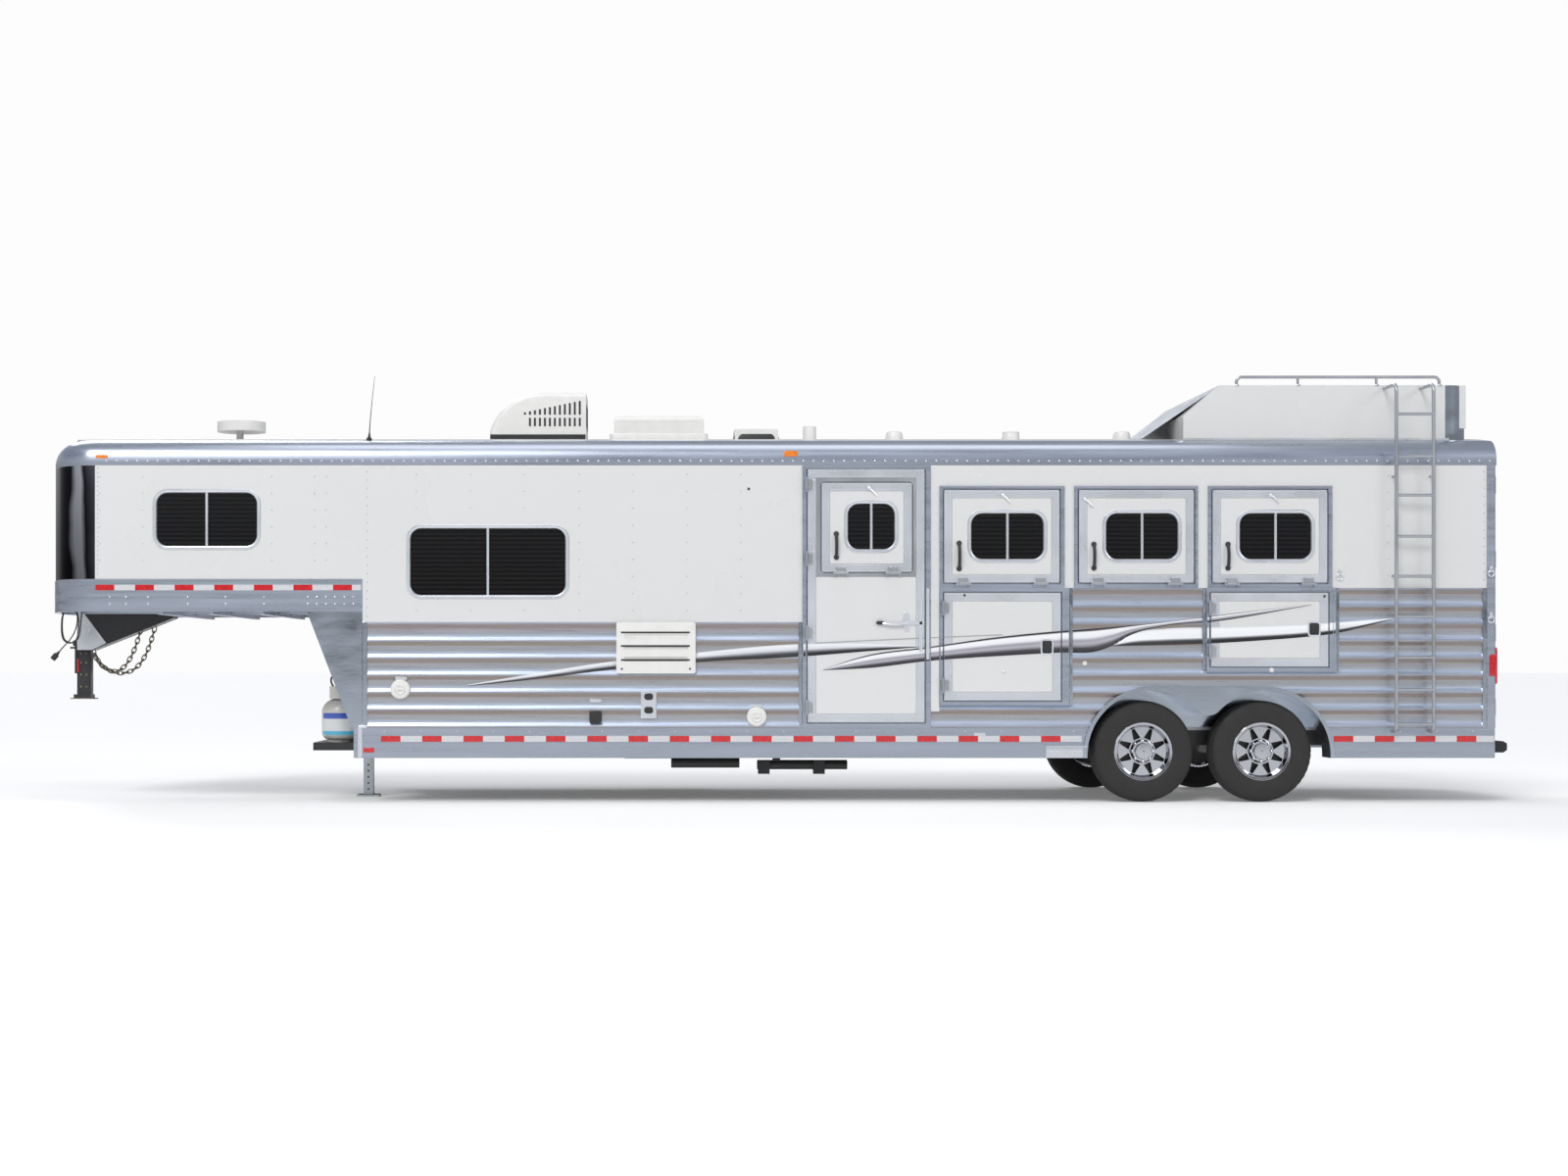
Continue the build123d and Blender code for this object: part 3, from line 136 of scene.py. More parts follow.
# ------------------------------------------------------------------ surfaces
class Shell:
    """Closed surfaces gathered into one mesh, each a grid of points."""

    def __init__(self):
        self.points, self.quads, self.across, self.total = [], [], [], 0

    def grid(self, points, across=None):
        """Join a grid of points, or many alike, with four-sided faces.

        Each face joins a point, the next one in its row and the two after them in the next
        row. Rows close on themselves.
        """
        rows, columns = points.shape[-3:-1]
        many = points.reshape(-1, rows * columns, 3)
        index = np.arange(rows * columns).reshape(rows, columns)
        index = np.hstack([index, index[:, :1]])
        quads = np.stack(
            [index[:-1, :-1], index[:-1, 1:], index[1:, 1:], index[1:, :-1]], -1).reshape(-1, 4)
        starts = self.total + np.arange(len(many)) * rows * columns
        self.quads.append((quads[None] + starts[:, None, None]).reshape(-1, 4))
        self.points.append(many.reshape(-1, 3))
        self.total += len(many) * rows * columns
        if across is None:
            across = np.zeros(len(many) * rows * columns)
        self.across.append(across.reshape(-1))

    def loft(self, sections, across=None):
        """Close a run of sections by drawing its first and last ones in to their centres."""
        first = np.broadcast_to(
            sections[..., :1, :, :].mean(-2, keepdims=True), sections[..., :1, :, :].shape)
        last = np.broadcast_to(
            sections[..., -1:, :, :].mean(-2, keepdims=True), sections[..., -1:, :, :].shape)
        if across is not None:
            across = np.concatenate([across[:1], across, across[-1:]])
        self.grid(np.concatenate([first, sections, last], axis=-3), across)

    def ring(self, sections):
        """Close a run of sections by joining its last one to its first."""
        self.grid(np.concatenate([sections, sections[..., :1, :, :]], axis=-3))


def piece(name, shell, look, body=TRAILER, sharp=35):
    """Make the mesh, merge its doubled points, turn its faces outwards and give it to a body.

    The look is a finish's name or a material, and it fills the mesh's one slot.
    """
    mesh = bpy.data.meshes.new(name)
    mesh.from_pydata(np.concatenate(shell.points), [], np.concatenate(shell.quads))
    across = mesh.attributes.new("across", "FLOAT", "POINT")
    across.data.foreach_set("value", np.concatenate(shell.across).astype(np.float32))
    work = bmesh.new()
    work.from_mesh(mesh)
    bmesh.ops.remove_doubles(work, verts=work.verts, dist=5e-6)
    bmesh.ops.recalc_face_normals(work, faces=work.faces)
    work.to_mesh(mesh)
    work.free()
    mesh.polygons.foreach_set("use_smooth", np.ones(len(mesh.polygons), dtype=bool))
    mesh.set_sharp_from_angle(angle=radians(sharp))
    mesh.materials.append(material(look) if isinstance(look, str) else look)
    made = bpy.data.objects.new(name, mesh)
    bpy.context.scene.collection.objects.link(made)
    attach(made, body)
    return made


def on_face(face, u, v, d):
    """Turn places on a face (along, up, out from the centre) into points in the frame."""
    u, v, d = np.broadcast_arrays(u, v, d)
    if face == "rear":
        return np.stack([d, u, v], -1)
    if face == "top":
        return np.stack([u, v, d], -1)
    return np.stack([u, -d if face == "left" else d, v], -1)


def outline(box, radius, steps=5, grow=0.0):
    """Points round a rectangle whose corners are quarter circles, grown on all sides.

    Each corner is its centre plus the radius times the cosine and sine of a turning angle.
    """
    u0, u1, v0, v1 = box
    r = max(radius + grow, 0.0)
    inset = r - grow
    centres = np.array([(u1 - inset, v1 - inset), (u0 + inset, v1 - inset),
                        (u0 + inset, v0 + inset), (u1 - inset, v0 + inset)])
    angles = np.arange(4)[:, None] * pi / 2 + np.linspace(0, pi / 2, steps + 1)
    turn = np.stack([np.cos(angles), np.sin(angles)], -1)
    return (centres[:, None] + r * turn).reshape(-1, 2)


def sheet_stack(face, box, radius, rows, steps=5):
    """Sections of a plate: the outline of the box at each (growth, distance out) given."""
    stack = []
    for grow, d in rows:
        flat = outline(box, radius, steps, grow)
        stack.append(on_face(face, flat[:, 0], flat[:, 1], d))
    return np.stack(stack)


def plate(shell, face, box, low, high, radius=0.004, bevel=0.002, steps=3):
    """A flat plate with rounded corners and a bevel round its outer face."""
    rows = [(0, low), (0, high - bevel), (-0.3 * bevel, high - 0.3 * bevel), (-bevel, high),
            (-2 * bevel, high)]
    shell.loft(sheet_stack(face, box, radius, rows, steps))


def trim(shell, face, box, radius, profile, steps=5):
    """A profile of (growth, distance out) carried round the outline of the box."""
    shell.ring(sheet_stack(face, box, radius, profile, steps))


def pierced_plate(shell, face, box, hole, low, high):
    """A plate with a rounded hole: its edge runs out, across to the hole and back in."""
    outer = sheet_stack(face, box, 0.006, [(0, low), (0, high - 0.001), (-0.001, high)])
    inner = sheet_stack(face, hole, GLASS_R, [(0.004, high), (0.004, low)])
    shell.ring(np.concatenate([outer, inner]))


def upright(shell, loop, levels, across=None):
    """A closed outline on plan, drawn up through the levels."""
    flat = np.broadcast_to(loop, (len(levels), *loop.shape))
    height = np.broadcast_to(levels[:, None, None], (len(levels), len(loop), 1))
    shell.loft(np.concatenate([flat, height], -1), across)


def arc_on_plan(centre, radius, turn):
    """Points on an arc about a centre, on plan."""
    return centre + radius * np.stack([np.cos(turn), np.sin(turn)], -1)


def blocks(shell, face, boxes):
    """Plain flat blocks, from rows of u0, u1, v0, v1, d0, d1."""
    b = np.atleast_2d(np.array(boxes, dtype=float))
    u = b[:, [0, 1, 1, 0]][:, None]
    v = b[:, [2, 2, 3, 3]][:, None]
    d = b[:, [4, 5]][:, :, None]
    shell.loft(on_face(face, u, v, d))


def domes(shell, face, u, v, d, radius, height, sides=8):
    """Low domes: rings of falling radius and rising height about each centre."""
    u, v, d = (a[:, None, None] for a in np.broadcast_arrays(
        np.atleast_1d(u).astype(float), np.atleast_1d(v).astype(float), d))
    turn = np.arange(sides) * 2 * pi / sides
    scale = np.array([1.0, 0.86, 0.45])[:, None]
    rise = np.array([-0.3, 0.6, 1.0])[:, None] * height
    shell.loft(on_face(face, u + radius * scale * np.cos(turn),
                       v + radius * scale * np.sin(turn), d + rise))


def turned(shell, centre, axis, profile, sides=32):
    """A surface of revolution: each (distance along the axis, radius) swept round it."""
    axis = np.array(axis, dtype=float)
    across = np.cross(axis, (0.31, 0.17, 0.94) if abs(axis[2]) < 0.9 else (1, 0, 0))
    across /= np.linalg.norm(across)
    third = np.cross(axis, across)
    turn = (np.arange(sides) * 2 * pi / sides)[None, :, None]
    along, radius = (np.array(c, dtype=float)[:, None, None] for c in zip(*profile))
    shell.loft(np.array(centre) + along * axis + radius * (
        np.cos(turn) * across + np.sin(turn) * third))


def tube(shell, path, radius, up=(0, 0, 1), sides=12):
    """A round tube: circles square to the path at each of its points."""
    path = np.array(path, dtype=float)
    along = np.gradient(path, axis=0)
    along /= np.linalg.norm(along, axis=1)[:, None]
    side = np.cross(along, up)
    side /= np.linalg.norm(side, axis=1)[:, None]
    other = np.cross(side, along)
    turn = (np.arange(sides) * 2 * pi / sides)[None, :, None]
    radius = np.broadcast_to(radius, len(path))[:, None, None]
    shell.loft(path[:, None] + radius * (
        np.cos(turn) * side[:, None] + np.sin(turn) * other[:, None]))


def rounded(path, times=3):
    """Cut a path's corners, a quarter of each run from both its ends, some times over."""
    path = np.array(path, dtype=float)
    for _ in range(times):
        near, far = path[:-1] * 0.75 + path[1:] * 0.25, path[:-1] * 0.25 + path[1:] * 0.75
        middle = np.stack([near, far], 1).reshape(-1, path.shape[1])
        path = np.concatenate([path[:1], middle, path[-1:]])
    return path


def spaced(path, pitch):
    """Points at an even pitch along a path, from its running length."""
    steps = np.linalg.norm(np.diff(path, axis=0), axis=1)
    length = np.concatenate([[0], np.cumsum(steps)])
    wanted = np.arange(pitch / 2, length[-1], pitch)
    return np.stack([np.interp(wanted, length, path[:, k]) for k in range(3)], -1)


def plank_out(z):
    """Distance out of the plank wall at a height: narrow crests, sloping to wide valleys."""
    step = np.mod(z - PLANK_LOW, PLANK_PITCH)
    return np.interp(step, [0, 0.016, 0.042, 0.109, 0.135],
                     [CREST_D, CREST_D, VALLEY_D, VALLEY_D, CREST_D])


# ------------------------------------------------------------------ finishes
def new_material(name):
    """A material with its shader, its tree and the object coordinates."""
    made = bpy.data.materials.new(f"{name}_finish")
    made.use_nodes = True
    tree = made.node_tree
    shader = tree.nodes["Principled BSDF"]
    coordinates = tree.nodes.new("ShaderNodeTexCoord").outputs["Object"]
    return made, tree, shader, coordinates


def noise(tree, coordinates, grain, detail=4.0):
    """Fractal noise over the coordinates, stretched by the grain on each axis."""
    mapping = tree.nodes.new("ShaderNodeMapping")
    mapping.inputs["Scale"].default_value = grain
    texture = tree.nodes.new("ShaderNodeTexNoise")
    texture.inputs["Scale"].default_value = 1.0
    texture.inputs["Detail"].default_value = detail
    tree.links.new(coordinates, mapping.inputs["Vector"])
    tree.links.new(mapping.outputs["Vector"], texture.inputs["Vector"])
    return texture.outputs["Fac"]


def spread(tree, value, low, high, start=0.3, end=0.7):
    """Spread a value from one range over another."""
    node = tree.nodes.new("ShaderNodeMapRange")
    for socket, number in zip(("From Min", "From Max", "To Min", "To Max"),
                              (start, end, low, high)):
        node.inputs[socket].default_value = number
    tree.links.new(value, node.inputs["Value"])
    return node.outputs["Result"]


def ramp(tree, value, stops):
    """Colours along a value, from (place, colour) stops."""
    node = tree.nodes.new("ShaderNodeValToRGB")
    elements = node.color_ramp.elements
    while len(elements) < len(stops):
        elements.new(0.5)
    for element, (place, colour) in zip(elements, stops):
        element.position = place
        element.color = (*colour, 1)
    tree.links.new(value, node.inputs["Fac"])
    return node.outputs["Color"]


def lift(tree, shader, height, strength, distance=0.002):
    """Raise the surface by a height map."""
    bump = tree.nodes.new("ShaderNodeBump")
    bump.inputs["Strength"].default_value = strength
    bump.inputs["Distance"].default_value = distance
    tree.links.new(height, bump.inputs["Height"])
    tree.links.new(bump.outputs["Normal"], shader.inputs["Normal"])


def finish(name, colour, rough, grain=(9, 9, 9), shade=0.9, relief=0.1, **sockets):
    """A mottled finish: noise sways its colour, roughness and height; the rest is constant."""
    made, tree, shader, coordinates = new_material(name)
    value = noise(tree, coordinates, grain)
    dark = tuple(c * shade for c in colour)
    tree.links.new(ramp(tree, value, [(0.3, dark), (0.7, tuple(colour))]),
                   shader.inputs["Base Color"])
    tree.links.new(spread(tree, value, *rough), shader.inputs["Roughness"])
    fine = noise(tree, coordinates, tuple(g * 7 for g in grain), 3.0)
    lift(tree, shader, fine, relief)
    for socket, number in sockets.items():
        shader.inputs[socket.replace("_", " ").title().replace("Ior", "IOR")].default_value = number
    return made


def plank_finish(name):
    """Satin planks with painted reflections: the colour follows the height within each plank's
    pitch, sky blue on the slopes that face up, ground brown on those that face down and grey on the
    flat between.
    """
    made, tree, shader, coordinates = new_material(name)
    split = tree.nodes.new("ShaderNodeSeparateXYZ")
    tree.links.new(coordinates, split.inputs["Vector"])
    step = tree.nodes.new("ShaderNodeMath")
    step.operation = "SUBTRACT"
    step.inputs[1].default_value = PLANK_LOW
    wrapped = tree.nodes.new("ShaderNodeMath")
    wrapped.operation = "WRAP"
    wrapped.inputs[1].default_value = PLANK_PITCH
    wrapped.inputs[2].default_value = 0.0
    tree.links.new(split.outputs["Z"], step.inputs[0])
    tree.links.new(step.outputs[0], wrapped.inputs[0])
    part = spread(tree, wrapped.outputs[0], 0.0, 1.0, 0.0, PLANK_PITCH)
    colours = bpy.context.scene.trailer_colours
    sky, ground = tuple(colours.sky_reflection), tuple(colours.ground_reflection)
    grey = (0.44, 0.46, 0.50)
    # painted reflection: ground brown where the plank faces down, sky blue where it faces up, grey
    # on the flat valley
    reflection_bands = [(0.0, ground), (0.05, (0.42, 0.42, 0.46)), (0.13, (0.46, 0.50, 0.58)),
             (0.24, sky), (0.34, (0.58, 0.65, 0.78)), (0.50, grey), (0.76, (0.44, 0.43, 0.45)),
             (0.84, ground), (0.97, ground)]
    base = ramp(tree, part, reflection_bands)
    value = noise(tree, coordinates, (1.5, 4, 60))
    mixed = tree.nodes.new("ShaderNodeMix")
    mixed.data_type = "RGBA"
    mixed.blend_type = "MULTIPLY"
    mixed.inputs["Factor"].default_value = 0.35
    tree.links.new(base, mixed.inputs["A"])
    tree.links.new(ramp(tree, value, [(0.3, (0.72, 0.72, 0.74)), (0.7, (1, 1, 1))]),
                   mixed.inputs["B"])
    tree.links.new(mixed.outputs["Result"], shader.inputs["Base Color"])
    tree.links.new(spread(tree, value, 0.24, 0.38), shader.inputs["Roughness"])
    shader.inputs["Metallic"].default_value = 0.75
    lift(tree, shader, noise(tree, coordinates, (6, 20, 400), 2.0), 0.06)
    return made


def banded_finish(name, stops, rough=0.28):
    """Printed film: the colour follows the piece's own across attribute."""
    made, tree, shader, coordinates = new_material(name)
    across = tree.nodes.new("ShaderNodeAttribute")
    across.attribute_name = "across"
    tree.links.new(ramp(tree, across.outputs["Fac"], stops), shader.inputs["Base Color"])
    value = noise(tree, coordinates, (12, 12, 12))
    tree.links.new(spread(tree, value, rough, rough + 0.1), shader.inputs["Roughness"])
    shader.inputs["Coat Weight"].default_value = 0.4
    return made


def glass_finish(name):
    """Dark tinted glass with the slats of a blind showing faintly through it."""
    made, tree, shader, coordinates = new_material(name)
    wave = tree.nodes.new("ShaderNodeTexWave")
    wave.bands_direction = "Z"
    wave.inputs["Scale"].default_value = 9.0
    wave.inputs["Distortion"].default_value = 0.15
    tree.links.new(coordinates, wave.inputs["Vector"])
    tree.links.new(ramp(tree, wave.outputs["Fac"], [(0.2, (0.006, 0.006, 0.007)),
                                                    (0.9, (0.013, 0.013, 0.012))]),
                   shader.inputs["Base Color"])
    tree.links.new(spread(tree, noise(tree, coordinates, (3, 3, 3)), 0.03, 0.08),
                   shader.inputs["Roughness"])
    shader.inputs["IOR"].default_value = 1.42
    return made


def nose_reflection_finish(name):
    """Polished steel with painted reflections: its colour runs in dark and bright upright bands,
    swayed by noise, along the plan.
    """
    made, tree, shader, coordinates = new_material(name)
    split = tree.nodes.new("ShaderNodeSeparateXYZ")
    tree.links.new(coordinates, split.inputs["Vector"])
    sway = tree.nodes.new("ShaderNodeMath")
    sway.operation = "MULTIPLY_ADD"
    sway.inputs[1].default_value = 0.16
    tree.links.new(noise(tree, coordinates, (3.0, 0.6, 2.2), 1.5), sway.inputs[0])
    tree.links.new(split.outputs["X"], sway.inputs[2])
    reflection_place = spread(tree, sway.outputs[0], 0.0, 1.0, -5.76, -5.20)
    # painted reflection: near black towards the front of the nose, with one bright streak further
    # back
    reflection_bands = [(0.0, (0.008, 0.008, 0.010)), (0.22, (0.014, 0.014, 0.017)),
             (0.42, (0.004, 0.004, 0.005)), (0.58, (0.02, 0.02, 0.025)),
             (0.68, (0.80, 0.83, 0.88)), (0.78, (0.90, 0.92, 0.96)), (0.84, (0.02, 0.02, 0.03)),
             (1.0, (0.20, 0.21, 0.24))]
    tree.links.new(ramp(tree, reflection_place, reflection_bands), shader.inputs["Base Color"])
    value = noise(tree, coordinates, (2, 6, 0.8))
    tree.links.new(spread(tree, value, 0.04, 0.10), shader.inputs["Roughness"])
    shader.inputs["Metallic"].default_value = 1.0
    shader.inputs["Anisotropic"].default_value = 0.5
    lift(tree, shader, noise(tree, coordinates, (5, 5, 0.6), 2.0), 0.12, 0.01)
    return made


# finishes whose colour the user picks, and finishes with nodes of their own
USER_COLOURS = {"white_paint": "paint", "red_lens": "red", "amber_lens": "amber"}
OWN_FINISHES = {"plank_aluminium": plank_finish, "dark_glass": glass_finish,
                "polished_steel": nose_reflection_finish}
FINISHES = {
    "white_paint": dict(rough=(0.24, 0.34), grain=(0.8, 0.8, 0.8), shade=0.992, relief=0.003,
                        coat_weight=0.5, coat_roughness=0.08),
    "red_lens": dict(rough=(0.15, 0.3), grain=(60, 60, 60), shade=0.75, relief=0.1,
                     coat_weight=0.6),
    "amber_lens": dict(rough=(0.15, 0.3), grain=(60, 60, 60), shade=0.8, relief=0.1,
                       coat_weight=0.6),
    "silver_tape": dict(colour=(0.72, 0.73, 0.74), rough=(0.25, 0.4), grain=(150, 150, 150),
                        shade=0.75, relief=0.15, metallic=0.3),
    "rail_aluminium": dict(colour=(0.43, 0.47, 0.55), rough=(0.24, 0.36), grain=(0.8, 6, 24),
                           shade=0.92, relief=0.004, metallic=0.88),
    "mill_aluminium": dict(colour=(0.44, 0.455, 0.48), rough=(0.28, 0.42), grain=(4, 4, 4),
                           shade=0.92, relief=0.004, metallic=0.85),
    "bright_aluminium": dict(colour=(0.70, 0.72, 0.76), rough=(0.24, 0.34), grain=(3, 3, 3),
                             shade=0.93, relief=0.003, metallic=0.7),
    "polished_trim": dict(colour=(0.48, 0.53, 0.60), rough=(0.10, 0.24), grain=(3, 3, 9),
                          shade=0.82, relief=0.05, metallic=1.0),
    "polished_wheel": dict(colour=(0.50, 0.51, 0.54), rough=(0.06, 0.14), grain=(20, 20, 20),
                           shade=0.86, relief=0.03, metallic=1.0),
    "black_steel": dict(colour=(0.022, 0.022, 0.024), rough=(0.38, 0.55), grain=(12, 12, 12),
                        shade=0.7, relief=0.15, coat_weight=0.15),
    "grey_paint": dict(colour=(0.42, 0.46, 0.49), rough=(0.35, 0.5), grain=(10, 10, 6),
                       shade=0.82, relief=0.1),
    "bottle_paint": dict(colour=(0.74, 0.72, 0.66), rough=(0.25, 0.38), grain=(9, 9, 9),
                         shade=0.9, relief=0.05, coat_weight=0.4),
    "chain_steel": dict(colour=(0.26, 0.22, 0.16), rough=(0.32, 0.6), grain=(60, 60, 60),
                        shade=0.5, relief=0.3, metallic=0.9),
    "black_rubber": dict(colour=(0.018, 0.018, 0.019), rough=(0.6, 0.8), grain=(25, 25, 25),
                         shade=0.7, relief=0.2),
    "tyre_rubber": dict(colour=(0.022, 0.021, 0.020), rough=(0.62, 0.85), grain=(14, 14, 14),
                        shade=0.62, relief=0.3),
    "black_cable": dict(colour=(0.020, 0.020, 0.022), rough=(0.4, 0.55), grain=(80, 80, 80),
                        shade=0.7, relief=0.1),
    "black_plastic": dict(colour=(0.020, 0.020, 0.021), rough=(0.4, 0.6), grain=(40, 40, 40),
                          shade=0.75, relief=0.15),
    "white_plastic": dict(colour=(0.74, 0.73, 0.70), rough=(0.3, 0.42), grain=(12, 12, 12),
                          shade=0.94, relief=0.06),
}


def material(name):
    """The named finish, made the first time it is asked for."""
    found = bpy.data.materials.get(f"{name}_finish")
    if found:
        return found
    if name in OWN_FINISHES:
        return OWN_FINISHES[name](name)
    facts = dict(FINISHES[name])
    if name in USER_COLOURS:
        facts["colour"] = tuple(getattr(bpy.context.scene.trailer_colours, USER_COLOURS[name]))
    return finish(name, **facts)


# ------------------------------------------------------------------ the stage
CAMERA_PLACE = (-0.97, -19.92, 1.085)
CAMERA_SENSOR, CAMERA_LENS = 36.0, 54.65             # millimetres
CAMERA_SHIFT = (0.08875, 0.04875)                    # shares of the picture's width


class TRAILER_OT_stage(bpy.types.Operator):
    """Lay the floor, hang soft lights and set the camera."""

    bl_idname = "trailer.stage"
    bl_label = "Stage"

    def execute(self, context):
        scene = context.scene
        floor = bpy.data.meshes.new("floor")
        u, v = np.meshgrid(np.linspace(-400, 400, 5), np.linspace(-400, 400, 5), indexing="ij")
        points = np.stack([u, v, np.zeros_like(u)], -1).reshape(-1, 3)
        index = np.arange(25).reshape(5, 5)
        quads = np.stack([index[:-1, :-1], index[1:, :-1], index[1:, 1:], index[:-1, 1:]], -1)
        floor.from_pydata(points, [], quads.reshape(-1, 4))
        floor.materials.append(finish("floor", (0.90, 0.89, 0.87), (0.75, 0.9), (0.6, 0.6, 0.6),
                                      0.99, 0.01, emission_strength=0.13,
                                      emission_color=(1, 1, 1, 1)))
        ground = bpy.data.objects.new("floor", floor)
        scene.collection.objects.link(ground)

        world = bpy.data.worlds.new("studio")
        scene.world = world
        world.use_nodes = True
        tree = world.node_tree
        split = tree.nodes.new("ShaderNodeSeparateXYZ")
        where = tree.nodes.new("ShaderNodeTexCoord")
        tree.links.new(where.outputs["Generated"], split.inputs["Vector"])
        height = spread(tree, split.outputs["Z"], 0.0, 1.0, -0.2, 1.0)
        sky = ramp(tree, height, [(0.0, (0.20, 0.17, 0.14)), (0.165, (0.12, 0.11, 0.10)),
                                  (0.21, (0.30, 0.31, 0.33)), (0.26, (0.86, 0.88, 0.92)),
                                  (0.50, (0.54, 0.61, 0.76)), (1.0, (0.78, 0.80, 0.84))])
        studio = tree.nodes["Background"]
        studio.inputs["Strength"].default_value = 0.55
        tree.links.new(sky, studio.inputs["Color"])
        seen = tree.nodes.new("ShaderNodeBackground")
        seen.inputs["Color"].default_value = (0.98, 0.98, 0.98, 1)
        rays = tree.nodes.new("ShaderNodeLightPath")
        both = tree.nodes.new("ShaderNodeMixShader")
        tree.links.new(rays.outputs["Is Camera Ray"], both.inputs["Fac"])
        tree.links.new(studio.outputs[0], both.inputs[1])
        tree.links.new(seen.outputs[0], both.inputs[2])
        tree.links.new(both.outputs[0], tree.nodes["World Output"].inputs["Surface"])
        scene.view_settings.view_transform = "Standard"

        lamps = (("key", "SUN", (-6, -12, 12), (48, 0, -24), 1.35),
                 ("fill", "SUN", (9, -12, 7), (66, 0, 42), 0.55),
                 ("rear", "SUN", (4, 12, 10), (-55, 0, 20), 0.85),
                 ("front", "AREA", (-9, -15, 9), (58, 0, -24), 260),
                 ("top", "AREA", (0, -2, 11), (8, 0, 0), 240))
        for name, kind, place, turn, power in lamps:
            light = bpy.data.lights.new(name, kind)
            if kind == "SUN":
                light.angle = radians(22)
            else:
                light.shape = "RECTANGLE"
                light.size, light.size_y = 11.0, 4.0
            light.energy = power
            lamp = bpy.data.objects.new(name, light)
            lamp.location = place
            lamp.rotation_euler = tuple(radians(t) for t in turn)
            scene.collection.objects.link(lamp)

        lens = bpy.data.cameras.new("camera")
        lens.sensor_width, lens.lens = CAMERA_SENSOR, CAMERA_LENS
        lens.shift_x, lens.shift_y = CAMERA_SHIFT
        lens.clip_end = 300
        camera = bpy.data.objects.new("camera", lens)
        camera.location = CAMERA_PLACE
        camera.rotation_euler = (radians(90), 0, 0)
        scene.collection.objects.link(camera)
        scene.camera = camera
        return {"FINISHED"}


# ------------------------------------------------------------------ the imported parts
class TRAILER_OT_finishes(bpy.types.Operator):
    """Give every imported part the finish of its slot."""

    bl_idname = "trailer.finishes"
    bl_label = "Finishes"

    def execute(self, context):
        slots = {part["node"]: part["material_slot"] for part in frame["record"]["subparts"]}
        for name, node in frame["nodes"].items():
            made = material(slots[name])
            if not node.material_slots:
                node.data.materials.append(made)
            for place in node.material_slots:
                place.material = made
        return {"FINISHED"}


CORD_THICK = 0.010
# the cord's route: down from its gland, twice round over the hook, and away to the plug
CORD_ROUTE = (
    (-5.592, -0.388, 1.544), (-5.592, -0.388, 1.480), (-5.600, -0.388, 1.408),
    (-5.606, -0.388, 1.340), (-5.626, -0.388, 1.284), (-5.678, -0.389, 1.258),
    (-5.730, -0.390, 1.281), (-5.747, -0.391, 1.336), (-5.750, -0.391, 1.402),
    (-5.747, -0.392, 1.468), (-5.731, -0.393, 1.524), (-5.679, -0.396, 1.549),
    (-5.628, -0.399, 1.526), (-5.614, -0.401, 1.470), (-5.612, -0.402, 1.404),
    (-5.616, -0.403, 1.338), (-5.632, -0.404, 1.280), (-5.684, -0.405, 1.253),
    (-5.736, -0.406, 1.278), (-5.752, -0.407, 1.335), (-5.753, -0.407, 1.400),
    (-5.749, -0.408, 1.467), (-5.732, -0.409, 1.523), (-5.680, -0.412, 1.548),
    (-5.630, -0.416, 1.524), (-5.616, -0.419, 1.466), (-5.624, -0.421, 1.400),
    (-5.645, -0.422, 1.338), (-5.680, -0.423, 1.284), (-5.724, -0.424, 1.238),
    (-5.764, -0.425, 1.192),
)


class TRAILER_OT_cord(bpy.types.Operator):
    """Hang the trailer's lighting cord over its hook."""

    bl_idname = "trailer.cord"
    bl_label = "Cord"

    def execute(self, context):
        line = bpy.data.curves.new("lighting_cord", "CURVE")
        line.dimensions = "3D"
        line.bevel_depth = CORD_THICK / 2
        line.bevel_resolution = 3
        line.resolution_u = 8
        spline = line.splines.new("NURBS")
        spline.points.add(len(CORD_ROUTE) - 1)
        flat = np.hstack([np.array(CORD_ROUTE), np.ones((len(CORD_ROUTE), 1))])
        spline.points.foreach_set("co", flat.astype(np.float32).ravel())
        spline.order_u = 3
        spline.use_endpoint_u = True
        line.materials.append(material("black_cable"))
        cord = bpy.data.objects.new("lighting_cord", line)
        context.scene.collection.objects.link(cord)
        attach(cord, TRAILER)
        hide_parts("trailer_cord")
        return {"FINISHED"}


CHAIN_PITCH, CHAIN_Y = 0.042, (-0.075, 0.075)
CHAIN_ROUTES = (
    ((-5.571, 1.212), (-5.532, 1.120), (-5.468, 1.050), (-5.390, 1.020), (-5.315, 1.055),
     (-5.258, 1.135), (-5.212, 1.240), (-5.172, 1.372)),
    ((-5.592, 1.156), (-5.548, 1.085), (-5.470, 1.030), (-5.372, 1.006), (-5.270, 1.030),
     (-5.190, 1.110), (-5.130, 1.235), (-5.081, 1.408)),
)


